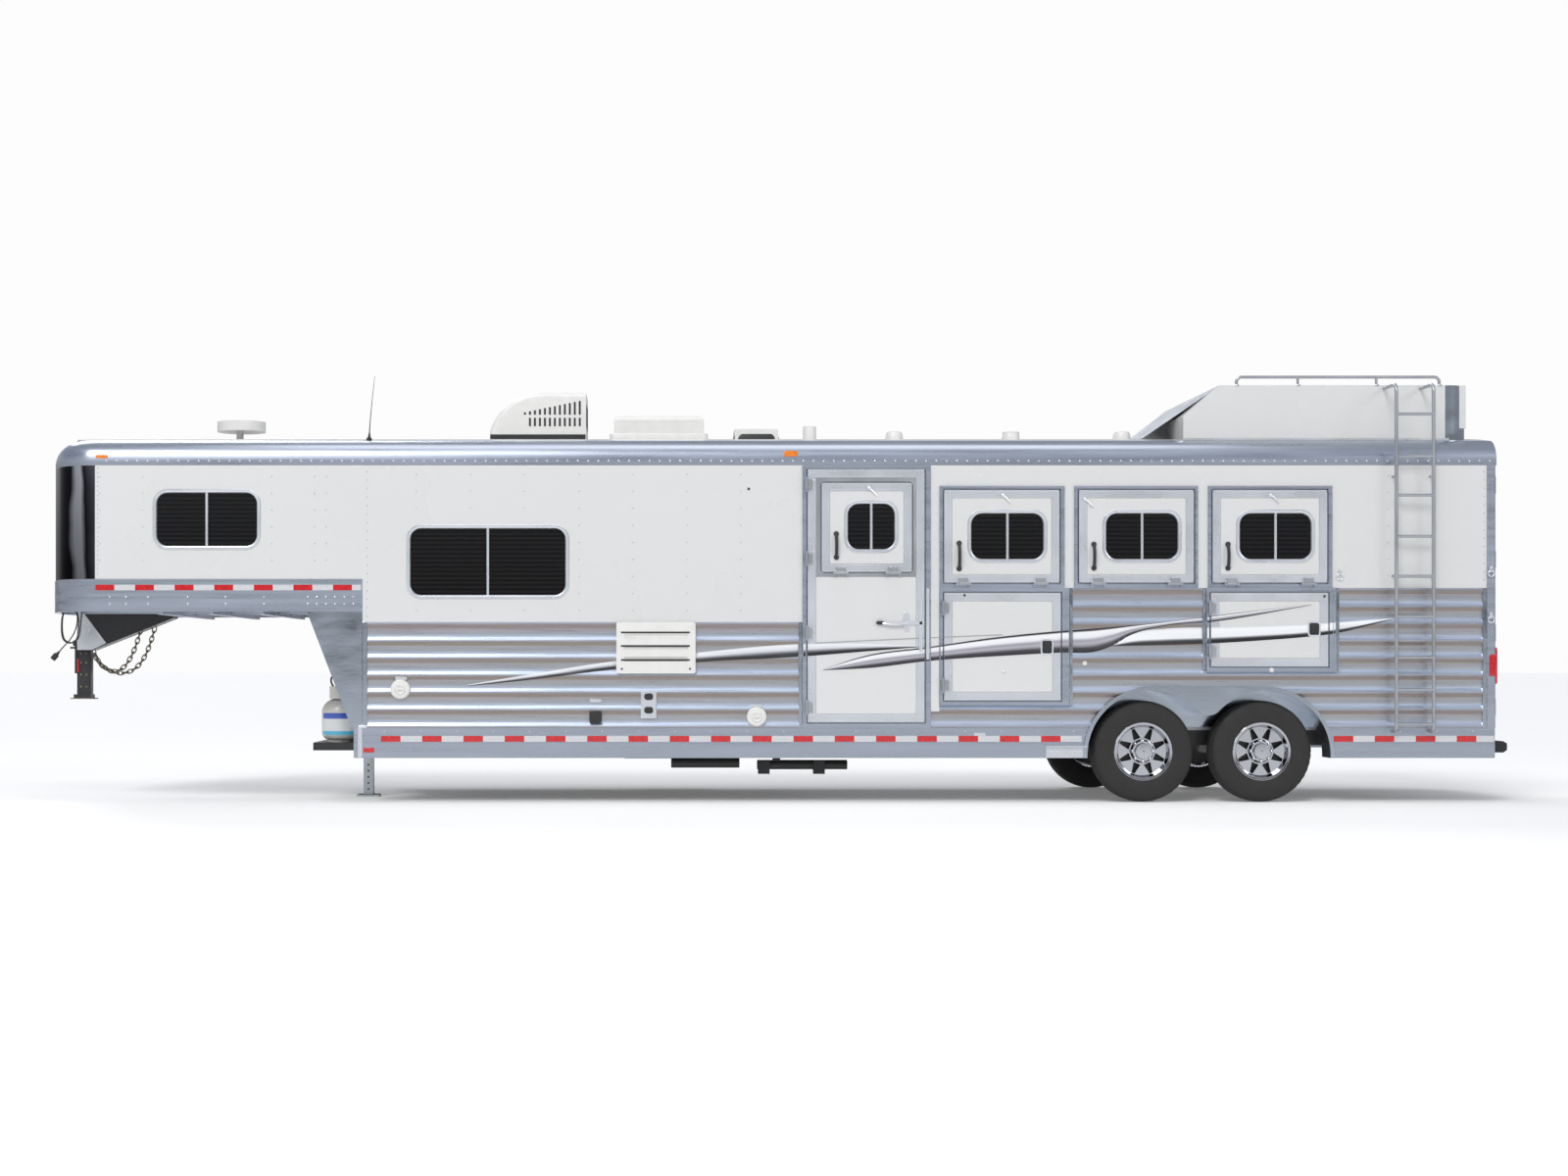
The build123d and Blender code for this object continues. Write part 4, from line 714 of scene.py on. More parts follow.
class TRAILER_OT_chains(bpy.types.Operator):
    """Link the two safety chains."""

    bl_idname = "trailer.chains"
    bl_label = "Safety chains"

    def execute(self, context):
        shell = Shell()
        for route, y in zip(CHAIN_ROUTES, CHAIN_Y):
            flat = rounded(route)
            path = np.stack([flat[:, 0], np.full(len(flat), y), flat[:, 1]], -1)
            self.links(shell, spaced(path, CHAIN_PITCH))
        made = piece("chain_links", shell, "chain_steel")
        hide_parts("safety_chains")
        return {"FINISHED"}

    def links(self, shell, middles, half_length=0.030, half_width=0.0165, wire=0.0052):
        """Rings of wire: an oval in turn upright and flat about the chain's own direction."""
        along = np.gradient(middles, axis=0)
        along /= np.linalg.norm(along, axis=1)[:, None]
        level = np.broadcast_to((0.0, 1.0, 0.0), along.shape)
        upright = np.cross(along, level)
        odd = (np.arange(len(middles)) % 2 == 1)[:, None]
        side = np.where(odd, level * 0.94 + upright * 0.34, upright * 0.94 - level * 0.34)
        square = np.cross(along, side)
        a = (np.arange(14) * 2 * pi / 14)[None, :, None, None]
        w = (np.arange(6) * 2 * pi / 6)[None, None, :, None]
        along, side, square = (t[:, None, None, :] for t in (along, side, square))
        out = along * np.cos(a) * half_width + side * np.sin(a) * half_length
        out = out / np.linalg.norm(out, axis=-1, keepdims=True)
        middle = middles[:, None, None, :] + along * half_length * np.cos(a) \
            + side * half_width * np.sin(a)
        shell.ring(middle + wire * (np.cos(w) * out + np.sin(w) * square))


# ------------------------------------------------------------------ windows
def pane_trim(shell, face, box, out, inside, width):
    """A window frame: up from the wall, over a low crown and down to the glass."""
    profile = [(width - 0.002, out - 0.002), (width - 0.002, out + 0.004),
               (width - 0.007, out + 0.009), (0.012, out + 0.010), (0.004, out + 0.007),
               (0.0, out + 0.001), (-0.002, inside), (-0.002, inside - 0.002)]
    trim(shell, face, box, GLASS_R, profile, 7)


class TRAILER_OT_windows(bpy.types.Operator):
    """Frame the panes, with a bar down the middle of each."""

    bl_idname = "trailer.windows"
    bl_label = "Window frames"

    def execute(self, context):
        width = context.scene.trailer_sizes.glass_trim
        shells = {}
        jobs = [(TRAILER, face, box, WALL_D, PANES["wall"]) for face in SIDES
                for box in CABIN_WINDOWS.values()]
        jobs += [(TRAILER, "right", box, WALL_D, PANES["wall"]) for box in HIP_WINDOWS]
        jobs += [(body, "left", glass, FRAME_D, PANES["drop"])
                 for body, (_, glass) in DROP_WINDOWS.items()]
        jobs += [(body, "rear", glass, REAR_D, PANES["rear"])
                 for body, (_, glass) in REAR_DOORS.items()]
        for body, face, box, out, inside in jobs:
            shell = shells.setdefault(body, Shell())
            pane_trim(shell, face, box, out, inside, width)
            middle = (box[0] + box[1]) / 2
            blocks(shell, face, [(middle - 0.009, middle + 0.009, box[2] - 0.004,
                                  box[3] + 0.004, inside - 0.001, out + 0.003)])
            heads = np.linspace(box[0] + 0.09, box[1] - 0.09, 4)
            for v in (box[2] - width / 2, box[3] + width / 2):
                domes(shell, face, heads, v, out + 0.0095, 0.0035, 0.002, 6)
        for body, shell in shells.items():
            piece(f"{body}_pane_frames", shell, "bright_aluminium", body)
        return {"FINISHED"}


class TRAILER_OT_panels(bpy.types.Operator):
    """Lay the white panels and mitred borders on doors and drop windows."""

    bl_idname = "trailer.panels"
    bl_label = "Door panels"

    def execute(self, context):
        for body, (leaf, glass) in DROP_WINDOWS.items():
            shell = Shell()
            inner = self.inset(leaf, 0.067 if body == "drop_window_1" else 0.066)
            pierced_plate(shell, "left", inner, self.inset(glass, 0.002), FRAME_D - 0.001,
                          FRAME_D + PANEL)
            piece(f"{body}_panel", shell, "white_paint", body=body)
            self.mitred(body, "left", leaf, inner, FRAME_D)
        for body, leaf in LEAVES.items():
            inner = self.inset(leaf, 0.068)
            if body == "side_door":
                inner = (inner[0], inner[1], inner[2], 1.771)
            shell = Shell()
            plate(shell, "left", inner, FRAME_D - 0.001, FRAME_D + PANEL)
            piece(f"{body}_panel", shell, "white_paint", body=body)
            self.mitred(body, "left", leaf, inner, FRAME_D)
        shell = Shell()
        inner = self.inset(ENTRY_LEAF, 0.075)
        plate(shell, "right", inner, FRAME_D - 0.001, FRAME_D + PANEL)
        piece("entry_door_panel", shell, "white_paint", body="entry_door")
        self.mitred("entry_door", "right", ENTRY_LEAF, inner, FRAME_D)
        for body, (leaf, glass) in REAR_DOORS.items():
            inner = self.inset(leaf, 0.075)
            upper, lower = (*inner[:2], 1.60, inner[3]), (*inner[:3], 1.52)
            shell = Shell()
            pierced_plate(shell, "rear", upper, self.inset(glass, 0.002), REAR_D - 0.001,
                          REAR_D + PANEL)
            plate(shell, "rear", lower, REAR_D - 0.001, REAR_D + PANEL)
            piece(f"{body}_panels", shell, "white_paint", body=body)
            self.mitred(body, "rear", leaf, inner, REAR_D)
        shell = Shell()
        plate(shell, "left", (1.275, 1.343, 0.715, 1.686), CREST_D - 0.002, CREST_D + 0.0035)
        piece("white_filler", shell, "white_paint")
        return {"FINISHED"}

    def inset(self, box, by):
        """The box, drawn in on all sides."""
        return (box[0] + by, box[1] - by, box[2] + by, box[3] - by)

    def mitred(self, body, face, outer, inner, out):
        """Ribbed bars carried round the leaf, with a thin line across each mitred corner."""
        width = inner[0] - outer[0]
        profile = [(-0.003, out - 0.001), (-0.003, out + 0.0022), (-0.008, out + 0.0022),
                   (-0.011, out + 0.0010), (0.012 - width, out + 0.0010),
                   (0.009 - width, out + 0.0022), (0.002 - width, out + 0.0022),
                   (0.002 - width, out - 0.001)]
        shell = Shell()
        trim(shell, face, outer, 0.0, profile, 0)
        cuts = np.array([(0.0035, width - 0.003)])
        for a, s in ((0, 1), (1, -1)):
            for b, t in ((2, 1), (3, -1)):
                u = outer[a] + s * (cuts.T + np.array([[-0.0012, 0.0012]]))
                v = outer[b] + t * (cuts.T + np.array([[0.0012, -0.0012]]))
                low = on_face(face, u, v, out + 0.0005)
                high = on_face(face, u, v, out + 0.0027)
                shell.loft(np.stack([low.reshape(4, 3)[[0, 1, 3, 2]],
                                     high.reshape(4, 3)[[0, 1, 3, 2]]]))
        piece(f"{body}_border", shell, "bright_aluminium", body, 20)


class TRAILER_OT_frames(bpy.types.Operator):
    """Rib the fixed frames round doors and windows, and trim the ends of the planks."""

    bl_idname = "trailer.frames"
    bl_label = "Opening frames"

    def execute(self, context):
        shell = Shell()
        spans = [("left", (0.268, 1.274, 0.585, 2.649), 0.031),
                 ("left", (1.344, 2.364, 0.762, 1.686), 0.026),
                 ("left", (3.439, 4.458, 1.024, 1.686), 0.026),
                 ("left", (1.344, 2.325, 1.686, 2.487), 0.022),
                 ("left", (2.402, 3.373, 1.686, 2.487), 0.022),
                 ("left", (3.453, 4.428, 1.686, 2.487), 0.022),
                 ("right", (-1.290, -0.390, 0.585, 2.560), 0.031)]
        for face, box, width in spans:
            profile = [(-0.001, FRAME_D - 0.001), (-0.001, FRAME_D + 0.002),
                       (-0.005, FRAME_D + 0.002), (-0.007, FRAME_D + 0.0008),
                       (0.007 - width, FRAME_D + 0.0008), (0.005 - width, FRAME_D + 0.002),
                       (0.001 - width, FRAME_D + 0.002), (0.001 - width, FRAME_D - 0.001)]
            trim(shell, face, box, 0.0, profile, 0)
        piece("frame_ribs", shell, "rail_aluminium", sharp=20)

        shell = Shell()
        ends = [(0.238, 0.266, 0.586, 1.417), (-3.188, -3.152, 0.590, 1.417),
                (2.367, 2.391, 0.762, 1.686), (3.413, 3.437, 1.024, 1.686),
                (4.460, 4.484, 1.024, 1.686), (5.612, 5.642, 0.586, 1.686)]
        for box in ends:
            plate(shell, "left", box, VALLEY_D - 0.004, CREST_D + 0.003, 0.003)
        for box in ((-1.322, -1.292, 0.586, 1.417), (-0.388, -0.358, 0.586, 1.417),
                    (-3.188, -3.152, 0.590, 1.417), (5.612, 5.642, 0.586, 1.686)):
            plate(shell, "right", box, VALLEY_D - 0.004, CREST_D + 0.003, 0.003)
        piece("plank_ends", shell, "polished_trim")
        return {"FINISHED"}


# ------------------------------------------------------------------ handles and latches
def grab_handle(shell, face, u, v0, v1, out, reach=0.036):
    """A bowed handle on two round feet: its standoff follows half a sine wave's root."""
    t = np.linspace(0, 1, 17)
    v = v0 + (v1 - v0) * t
    d = out + reach * np.sin(pi * t) ** 0.45
    tube(shell, on_face(face, np.full(17, u), v, d), 0.013, (1, 0, 0))
    normal = on_face(face, 0, 0, 1.0) - on_face(face, 0, 0, 0.0)
    for v in (v0, v1):
        turned(shell, on_face(face, u, v, out), normal,
               [(-0.001, 0.021), (0.006, 0.021), (0.011, 0.016), (0.014, 0.008)], 20)


def slam_latch(shell, u, v, out):
    """A small turn latch: a round boss and a lever that slopes down."""
    turned(shell, (u, -out, v), (0, -1, 0),
           [(-0.001, 0.016), (0.008, 0.016), (0.012, 0.012), (0.016, 0.006)], 16)
    t = np.linspace(0, 1, 6)
    lever = np.stack([u + 0.060 * t, -out - 0.012 + 0.002 * t, v - 0.062 * t ** 1.2], -1)
    tube(shell, lever, np.interp(t, [0, 0.7, 1], [0.006, 0.007, 0.004]), (0, 1, 0), 8)
    blocks(shell, "left", [(u - 0.045, u + 0.012, v + 0.002, v + 0.014, out, out + 0.006)])


class TRAILER_OT_hardware(bpy.types.Operator):
    """Fit grab handles, latches, cam bars and paddles."""

    bl_idname = "trailer.hardware"
    bl_label = "Handles and latches"

    def execute(self, context):
        handles = {"drop_window_1": (0.533, 1.906, 2.130), "drop_window_2": (1.497, 1.817, 2.056),
                   "drop_window_3": (2.555, 1.822, 2.048), "drop_window_4": (3.607, 1.822, 2.048)}
        latches = {"drop_window_1": (0.790, 2.470), "drop_window_2": (1.841, 2.412),
                   "drop_window_3": (2.487, 2.380), "drop_window_4": (3.946, 2.412)}
        for body, (u, v0, v1) in handles.items():
            shell = Shell()
            grab_handle(shell, "left", u, v0 + 0.02, v1 - 0.02, FRAME_D + PANEL)
            piece(f"{body}_handle", shell, "black_plastic", body=body)
            shell = Shell()
            slam_latch(shell, *latches[body], FRAME_D + 0.001)
            leaf = DROP_WINDOWS[body][0]
            for u in (leaf[0] + 0.150, leaf[1] - 0.150):
                plate(shell, "left", (u - 0.030, u + 0.030, leaf[2] + 0.012, leaf[2] + 0.062),
                      FRAME_D, FRAME_D + 0.005)
                domes(shell, "left", u + np.array([-0.016, 0.016]), leaf[2] + 0.037,
                      FRAME_D + 0.005, 0.006, 0.003)
            piece(f"{body}_latch", shell, "bright_aluminium", body)
        self.side_door()
        self.storage()
        self.rear_doors()
        self.entry_door()
        return {"FINISHED"}

    def side_door(self):
        """A lever on an oval boss, a bolt to the edge, and the cam bar beside it."""
        shell = Shell()
        out = FRAME_D + 0.001
        plate(shell, "left", (1.060, 1.106, 1.345, 1.500), out, out + 0.010, 0.022, 0.003, 6)
        plate(shell, "left", (1.080, 1.225, 1.396, 1.424), out, out + 0.013, 0.006, 0.003)
        plate(shell, "left", (1.183, 1.210, 1.187, 1.607), out, out + 0.013, 0.008, 0.003)
        t = np.linspace(0, 1, 9)
        lever = np.stack([1.090 - 0.215 * t, -out - 0.016 - 0.008 * np.sin(pi * t),
                          1.411 - 0.012 * np.sin(pi * t)], -1)
        tube(shell, lever, np.interp(t, [0, 0.3, 0.8, 1], [0.009, 0.014, 0.011, 0.007]),
             (0, 0, 1), 10)
        for v in (2.560, 2.000, 1.335, 0.720):
            domes(shell, "left", [0.330, 0.330, 0.355, 0.355], [v - 0.03, v + 0.03] * 2,
                  FRAME_D + 0.002, 0.006, 0.003)
        piece("side_door_latch", shell, "bright_aluminium", "side_door")
        shell = Shell()
        plate(shell, "left", (0.846, 0.905, 1.398, 1.426), out + 0.006, out + 0.026, 0.012, 0.006)
        piece("side_door_grip", shell, "black_plastic", body="side_door")
        shell = Shell()
        plate(shell, "left", (1.238, 1.262, 1.122, 1.682), out, out + 0.016, 0.008, 0.004)
        piece("side_door_cam_bar", shell, "bright_aluminium")

    def storage(self):
        """Square paddle latches in light frames."""
        for body, box in (("storage_door_front", (2.143, 2.231, 1.165, 1.277)),
                          ("storage_door_rear", (4.240, 4.328, 1.310, 1.416))):
            shell = Shell()
            out = FRAME_D + PANEL
            trim(shell, "left", box, 0.018, [(0.006, out), (0.006, out + 0.004),
                                             (-0.006, out + 0.006), (-0.008, out)], 5)
            piece(f"{body}_latch_rim", shell, "bright_aluminium", body)
            shell = Shell()
            plate(shell, "left", box, out, out + 0.005, 0.018, 0.002, 5)
            paddle = (box[0] + 0.018, box[1] - 0.018, box[2] + 0.022, box[3] - 0.014)
            plate(shell, "left", paddle, out + 0.004, out + 0.012, 0.008, 0.004, 5)
            piece(f"{body}_latch", shell, "black_plastic", body=body)

    def rear_doors(self):
        """An upright lock rod on each rear door, in its guides, with a handle."""
        for s, body in ((-1, "rear_door_left"), (1, "rear_door_right")):
            shell = Shell()
            u = s * 0.115
            tube(shell, on_face("rear", np.full(9, u), np.linspace(0.64, 2.60, 9),
                                REAR_D + 0.020), 0.011, (0, 1, 0))
            guides = np.array([0.70, 1.15, 1.72, 2.20, 2.55])
            blocks(shell, "rear", [(u - 0.032, u + 0.032, g - 0.022, g + 0.022, REAR_D,
                                    REAR_D + 0.034) for g in guides])
            t = np.linspace(0, 1, 9)
            path = on_face("rear", u + s * 0.42 * t, np.full(9, 1.36),
                           REAR_D + 0.034 + 0.006 * np.sin(pi * t))
            tube(shell, path, np.interp(t, [0, 0.2, 0.9, 1], [0.012, 0.010, 0.013, 0.009]))
            blocks(shell, "rear", [sorted((u + s * 0.36, u + s * 0.40)) + [1.32, 1.40, REAR_D,
                                                                           REAR_D + 0.022]])
            piece(f"{body}_lock_rod", shell, "bright_aluminium", body)

    def entry_door(self):
        """A paddle latch with a key lock on the entry door, and a grab rail beside it."""
        shell = Shell()
        out = FRAME_D + PANEL
        plate(shell, "right", (-0.600, -0.520, 1.30, 1.50), out, out + 0.006, 0.014, 0.003)
        plate(shell, "right", (-0.588, -0.532, 1.33, 1.44), out + 0.005, out + 0.014, 0.008, 0.004)
        domes(shell, "right", -0.56, 1.475, out + 0.006, 0.012, 0.005, 16)
        domes(shell, "right", -0.56, 1.580, out, 0.026, 0.008, 20)
        piece("entry_door_latch", shell, "black_plastic", body="entry_door")
        shell = Shell()
        grab_handle(shell, "right", -0.300, 1.05, 1.75, CREST_D, 0.027)
        piece("entry_grab_rail", shell, "bright_aluminium")


# ------------------------------------------------------------------ film stripes
# top edge and bottom edge in x and z, and how far the film stands off
STRIPES = {
    "front": (((-2.364, 0.925), (-1.910, 1.001), (-1.232, 1.109), (-0.570, 1.178),
               (0.262, 1.247), (0.800, 1.250), (1.224, 1.229)),
              ((-2.364, 0.915), (-1.910, 0.960), (-1.232, 1.044), (-0.570, 1.101),
               (0.262, 1.147), (0.800, 1.190), (1.224, 1.225)), 0.0010),
    "middle": (((0.431, 1.048), (0.793, 1.160), (1.224, 1.217), (1.817, 1.301), (2.287, 1.347),
                (2.618, 1.371), (3.111, 1.417), (3.473, 1.463), (4.258, 1.555)),
               ((0.431, 1.040), (0.793, 1.058), (1.224, 1.109), (1.933, 1.159), (2.287, 1.178),
                (2.603, 1.194), (2.718, 1.240), (2.818, 1.301), (3.111, 1.386), (3.473, 1.419),
                (4.258, 1.550)), 0.0024),
    "rear": (((2.690, 1.238), (2.864, 1.330), (3.111, 1.366), (3.473, 1.378), (4.212, 1.401),
              (4.900, 1.448)),
             ((2.690, 1.228), (3.450, 1.249), (3.842, 1.272), (4.235, 1.303), (4.458, 1.330),
              (4.900, 1.440)), 0.0014),
    "line": (((0.370, 1.2555), (1.163, 1.2925), (1.836, 1.3205)),
             ((0.370, 1.2505), (1.163, 1.2875), (1.836, 1.3155)), 0.0034),
}
# x0, x1, distance out (None on the planks) and body
LEFT_STRETCHES = (
    (-3.15, 0.236, None, TRAILER), (0.275, 0.298, FRAME_D, TRAILER),
    (0.309, 1.225, DOOR_D, "side_door"), (1.237, 1.266, FRAME_D, TRAILER),
    (1.276, 1.342, CREST_D + 0.003, TRAILER), (1.351, 1.369, FRAME_D, TRAILER),
    (1.380, 2.295, DOOR_D, "storage_door_front"), (2.306, 2.358, FRAME_D, TRAILER),
    (2.393, 3.411, None, TRAILER), (3.446, 3.464, FRAME_D, TRAILER),
    (3.475, 4.395, DOOR_D, "storage_door_rear"), (4.406, 4.452, FRAME_D, TRAILER),
    (4.486, 5.61, None, TRAILER),
)
RIGHT_STRETCHES = (
    (-3.15, -1.324, None, TRAILER), (-1.282, -1.260, FRAME_D, TRAILER),
    (-1.249, -0.439, DOOR_D, "entry_door"), (-0.428, -0.397, FRAME_D, TRAILER),
    (-0.356, 5.61, None, TRAILER),
)
FILM = {
    "front": [(0.0, (0.55, 0.56, 0.58)), (0.10, (0.80, 0.81, 0.82)), (0.42, (0.62, 0.63, 0.66)),
              (0.60, (0.20, 0.20, 0.22)), (0.75, (0.012, 0.012, 0.014))],
    "middle": [(0.0, (0.02, 0.02, 0.03)), (0.07, (0.03, 0.03, 0.04)), (0.13, (0.84, 0.84, 0.85)),
               (0.34, (0.76, 0.76, 0.78)), (0.48, (0.30, 0.29, 0.33)), (0.62, (0.42, 0.41, 0.45)),
               (0.80, (0.05, 0.045, 0.055)), (1.0, (0.012, 0.012, 0.014))],
    "rear": [(0.0, (0.62, 0.63, 0.64)), (0.15, (0.84, 0.85, 0.85)), (0.60, (0.78, 0.79, 0.80)),
             (0.74, (0.10, 0.10, 0.11)), (0.82, (0.008, 0.008, 0.009))],
    "line": [(0.0, (0.30, 0.30, 0.32)), (1.0, (0.35, 0.35, 0.37))],
}


class TRAILER_OT_stripes(bpy.types.Operator):
    """Lay the film stripes along both sides, over planks, frames and doors."""

    bl_idname = "trailer.stripes"
    bl_label = "Stripes"

    def execute(self, context):
        for name, (top, bottom, lift_by) in STRIPES.items():
            made = banded_finish(f"{name}_film", FILM[name])
            for face, stretches in (("left", LEFT_STRETCHES), ("right", RIGHT_STRETCHES)):
                shells = {}
                for x0, x1, out, body in stretches:
                    low, high = max(x0, top[0][0]), min(x1, top[-1][0])
                    if high - low > 0.004:
                        shell = shells.setdefault(body, Shell())
                        self.stretch(shell, face, low, high, out, top, bottom, lift_by)
                for body, shell in shells.items():
                    piece(f"{name}_stripe_{face}_{body}", shell, made, body, 60)
        return {"FINISHED"}

    def smooth(self, points, x):
        """Height at x on a smooth line: slopes at the points come from their neighbours."""
        xs, zs = (np.array(c, dtype=float) for c in zip(*points))
        slope = np.gradient(zs, xs)
        k = np.clip(np.searchsorted(xs, x) - 1, 0, len(xs) - 2)
        h = xs[k + 1] - xs[k]
        t = (x - xs[k]) / h
        return (zs[k] * (1 + 2 * t) * (1 - t) ** 2 + slope[k] * h * t * (1 - t) ** 2
                + zs[k + 1] * t * t * (3 - 2 * t) + slope[k + 1] * h * t * t * (t - 1))

    def stretch(self, shell, face, x0, x1, out, top, bottom, lift_by):
        """Film between two edges: up its face and down its back, section by section along x."""
        x = np.linspace(x0, x1, max(3, int((x1 - x0) / 0.03)))
        rows = 14
        t = np.linspace(0, 1, rows)
        high, low = self.smooth(top, x)[:, None], self.smooth(bottom, x)[:, None]
        z = high + (low - high) * t
        d = plank_out(z) if out is None else np.full_like(z, out)
        front = on_face(face, x[:, None], z, d + lift_by)
        back = on_face(face, x[:, None], z, d - 0.0010)[:, ::-1]
        across = np.broadcast_to(np.concatenate([t, t[::-1]]), (len(x), 2 * rows))
        shell.loft(np.concatenate([front, back], axis=1), across)


# ------------------------------------------------------------------ rivets, tape and lamps
class TRAILER_OT_rivets(bpy.types.Operator):
    """Rivet the panels, the roof rails and the neck's rails."""

    bl_idname = "trailer.rivets"
    bl_label = "Rivets"

    def execute(self, context):
        radius = context.scene.trailer_sizes.rivet
        rows = 2.578 - 0.1336 * np.arange(9)
        columns = np.array([-2.764, -2.341, -1.917, -1.486, -1.063, -0.639, -0.216])
        u, v = (a.ravel() for a in np.meshgrid(columns, rows))
        u, v = self.clear(u, v, CABIN_WINDOWS["cabin"])
        neck_u = np.array([-5.252, -4.915, -3.902, -3.565, -3.473])
        u2, v2 = (a.ravel() for a in np.meshgrid(neck_u, 2.561 - 0.1316 * np.arange(6)))
        seam_v = 2.600 - 0.0668 * np.arange(18)
        nose_v = np.arange(1.80, 2.63, 0.036)
        rear_v = 2.568 - 0.131 * np.arange(7)
        edge_v = 2.60 - 0.0655 * np.arange(14)
        sets = [(u, v), (u2, v2), (-3.152, seam_v), (-5.268, nose_v), (4.870, rear_v),
                (5.623, edge_v)]
        white = Shell()
        for face in SIDES:
            for su, sv in sets:
                domes(white, face, su, sv, WALL_D, radius, radius * 0.5)
        piece("panel_rivets", white, "grey_paint")
        rails = Shell()
        along = np.arange(-5.20, 5.68, 0.0805)
        plain = np.arange(-3.30, 5.65, 0.285)
        neck = np.array([-5.173, -5.046, -4.872, -4.560, -4.262, -3.962, -3.618, -3.547, -3.475,
                         -3.404, -3.331, -3.260])
        for face in SIDES:
            domes(rails, face, along, 2.684, WALL_D + 0.0005, radius * 1.3, radius * 0.7)
            for v in (1.615, 1.561):
                domes(rails, face, neck, v, RAIL_D, 0.0075, 0.004)
            domes(rails, face, plain[(plain < 2.45) | (plain > 4.5)], 0.560, RAIL_D, 0.005, 0.002)
        across = np.arange(-1.05, 1.06, 0.15)
        domes(rails, "rear", across, 2.700, REAR_D + 0.002, 0.006, 0.003)
        piece("rail_rivets", rails, "bright_aluminium")
        return {"FINISHED"}

    def clear(self, u, v, box):
        """Leave out the places that fall on a window and its frame."""
        outside = (u < box[0] - 0.05) | (u > box[1] + 0.05) | (v < box[2] - 0.05) \
            | (v > box[3] + 0.05)
        return u[outside], v[outside]


class TRAILER_OT_reflectors(bpy.types.Operator):
    """Run reflective tape along the rails, and fit the marker and tail lamps."""

    bl_idname = "trailer.reflectors"
    bl_label = "Tape and lamps"

    def execute(self, context):
        sizes = context.scene.trailer_sizes
        red, white = Shell(), Shell()
        for face in SIDES:
            self.tape(red, white, face, -3.043, sizes.tape_pitch, 0.477, 0.524, -3.20, 2.46,
                      sizes.tape_red)
            self.tape(red, white, face, 4.440, 0.322, 0.477, 0.524, 4.440, 5.700, 0.154)
            self.tape(red, white, face, -5.285, 0.311, 1.667, 1.711, -5.285, -3.200, 0.149)
        piece("red_tape", red, "red_lens")
        piece("silver_tape", white, "silver_tape")

        amber, red = Shell(), Shell()
        for face in SIDES:
            for box in ((0.123, 0.231, 2.718, 2.764), (-5.285, -5.190, 2.704, 2.734)):
                plate(amber, face, box, 1.195, 1.226, 0.012, 0.006, 5)
            domes(amber, face, 3.411, 0.808, 1.232, 0.014, 0.008, 16)
            domes(red, face, 3.492, 0.808, 1.232, 0.014, 0.008, 16)
            plate(red, face, (-3.180, -3.095, 0.393, 0.431), RAIL_D - 0.002, RAIL_D + 0.009,
                  0.008, 0.004, 4)
            plate(red, face, (5.664, 5.714, 0.993, 1.163), FRAME_D - 0.004, FRAME_D + 0.008,
                  0.012, 0.005, 4)
        for s in (-1, 1):
            box = (*sorted((s * 1.148, s * 1.205)), 0.93, 1.22)
            plate(red, "rear", box, REAR_D - 0.002, REAR_D + 0.018, 0.020, 0.008, 6)
        for u in (-0.35, 0.0, 0.35):
            plate(red, "rear", (u - 0.045, u + 0.045, 2.730, 2.762), REAR_D, REAR_D + 0.016,
                  0.010, 0.006, 5)
        piece("amber_lamps", amber, "amber_lens")
        piece("red_lamps", red, "red_lens")
        return {"FINISHED"}

    def tape(self, red, white, face, first, pitch, v0, v1, x0, x1, length):
        """Flat pieces at an even pitch, red in turn with silver, cut to the span."""
        starts = first + pitch * np.arange(int((x1 - first) / pitch) + 1)
        for shell, begin, end in ((red, starts, starts + length),
                                  (white, starts + length, starts + pitch)):
            begin, end = np.clip(begin, x0, x1), np.clip(end, x0, x1)
            kept = end - begin > 0.01
            n = int(kept.sum())
            edge = [np.full(n, w) for w in (v0, v1, RAIL_D - 0.0005, RAIL_D + 0.0009)]
            blocks(shell, face, np.stack([begin[kept], end[kept], *edge], -1))


# ------------------------------------------------------------------ wheels
TYRE_HALF, BOLT_CIRCLE_R = 0.1175, 0.0815
# from the bead round the sidewall to the middle of the tread: (share of the half width, radius)
TYRE_SECTION = (
    (0.80, 0.217), (0.88, 0.226), (0.955, 0.252), (0.965, 0.262), (0.99, 0.280), (1.0, 0.300),
    (0.992, 0.322), (0.975, 0.338), (0.955, 0.352), (0.92, 0.368), (0.87, 0.380), (0.80, 0.389),
    (0.70, 0.394), (0.60, 0.3965), (0.56, 0.3968), (0.54, 0.3970), (0.44, 0.3976), (0.42, 0.3978),
    (0.38, 0.3982), (0.28, 0.3988), (0.16, 0.3993), (0.14, 0.3994), (0.05, 0.3998), (0.03, 0.4),
)


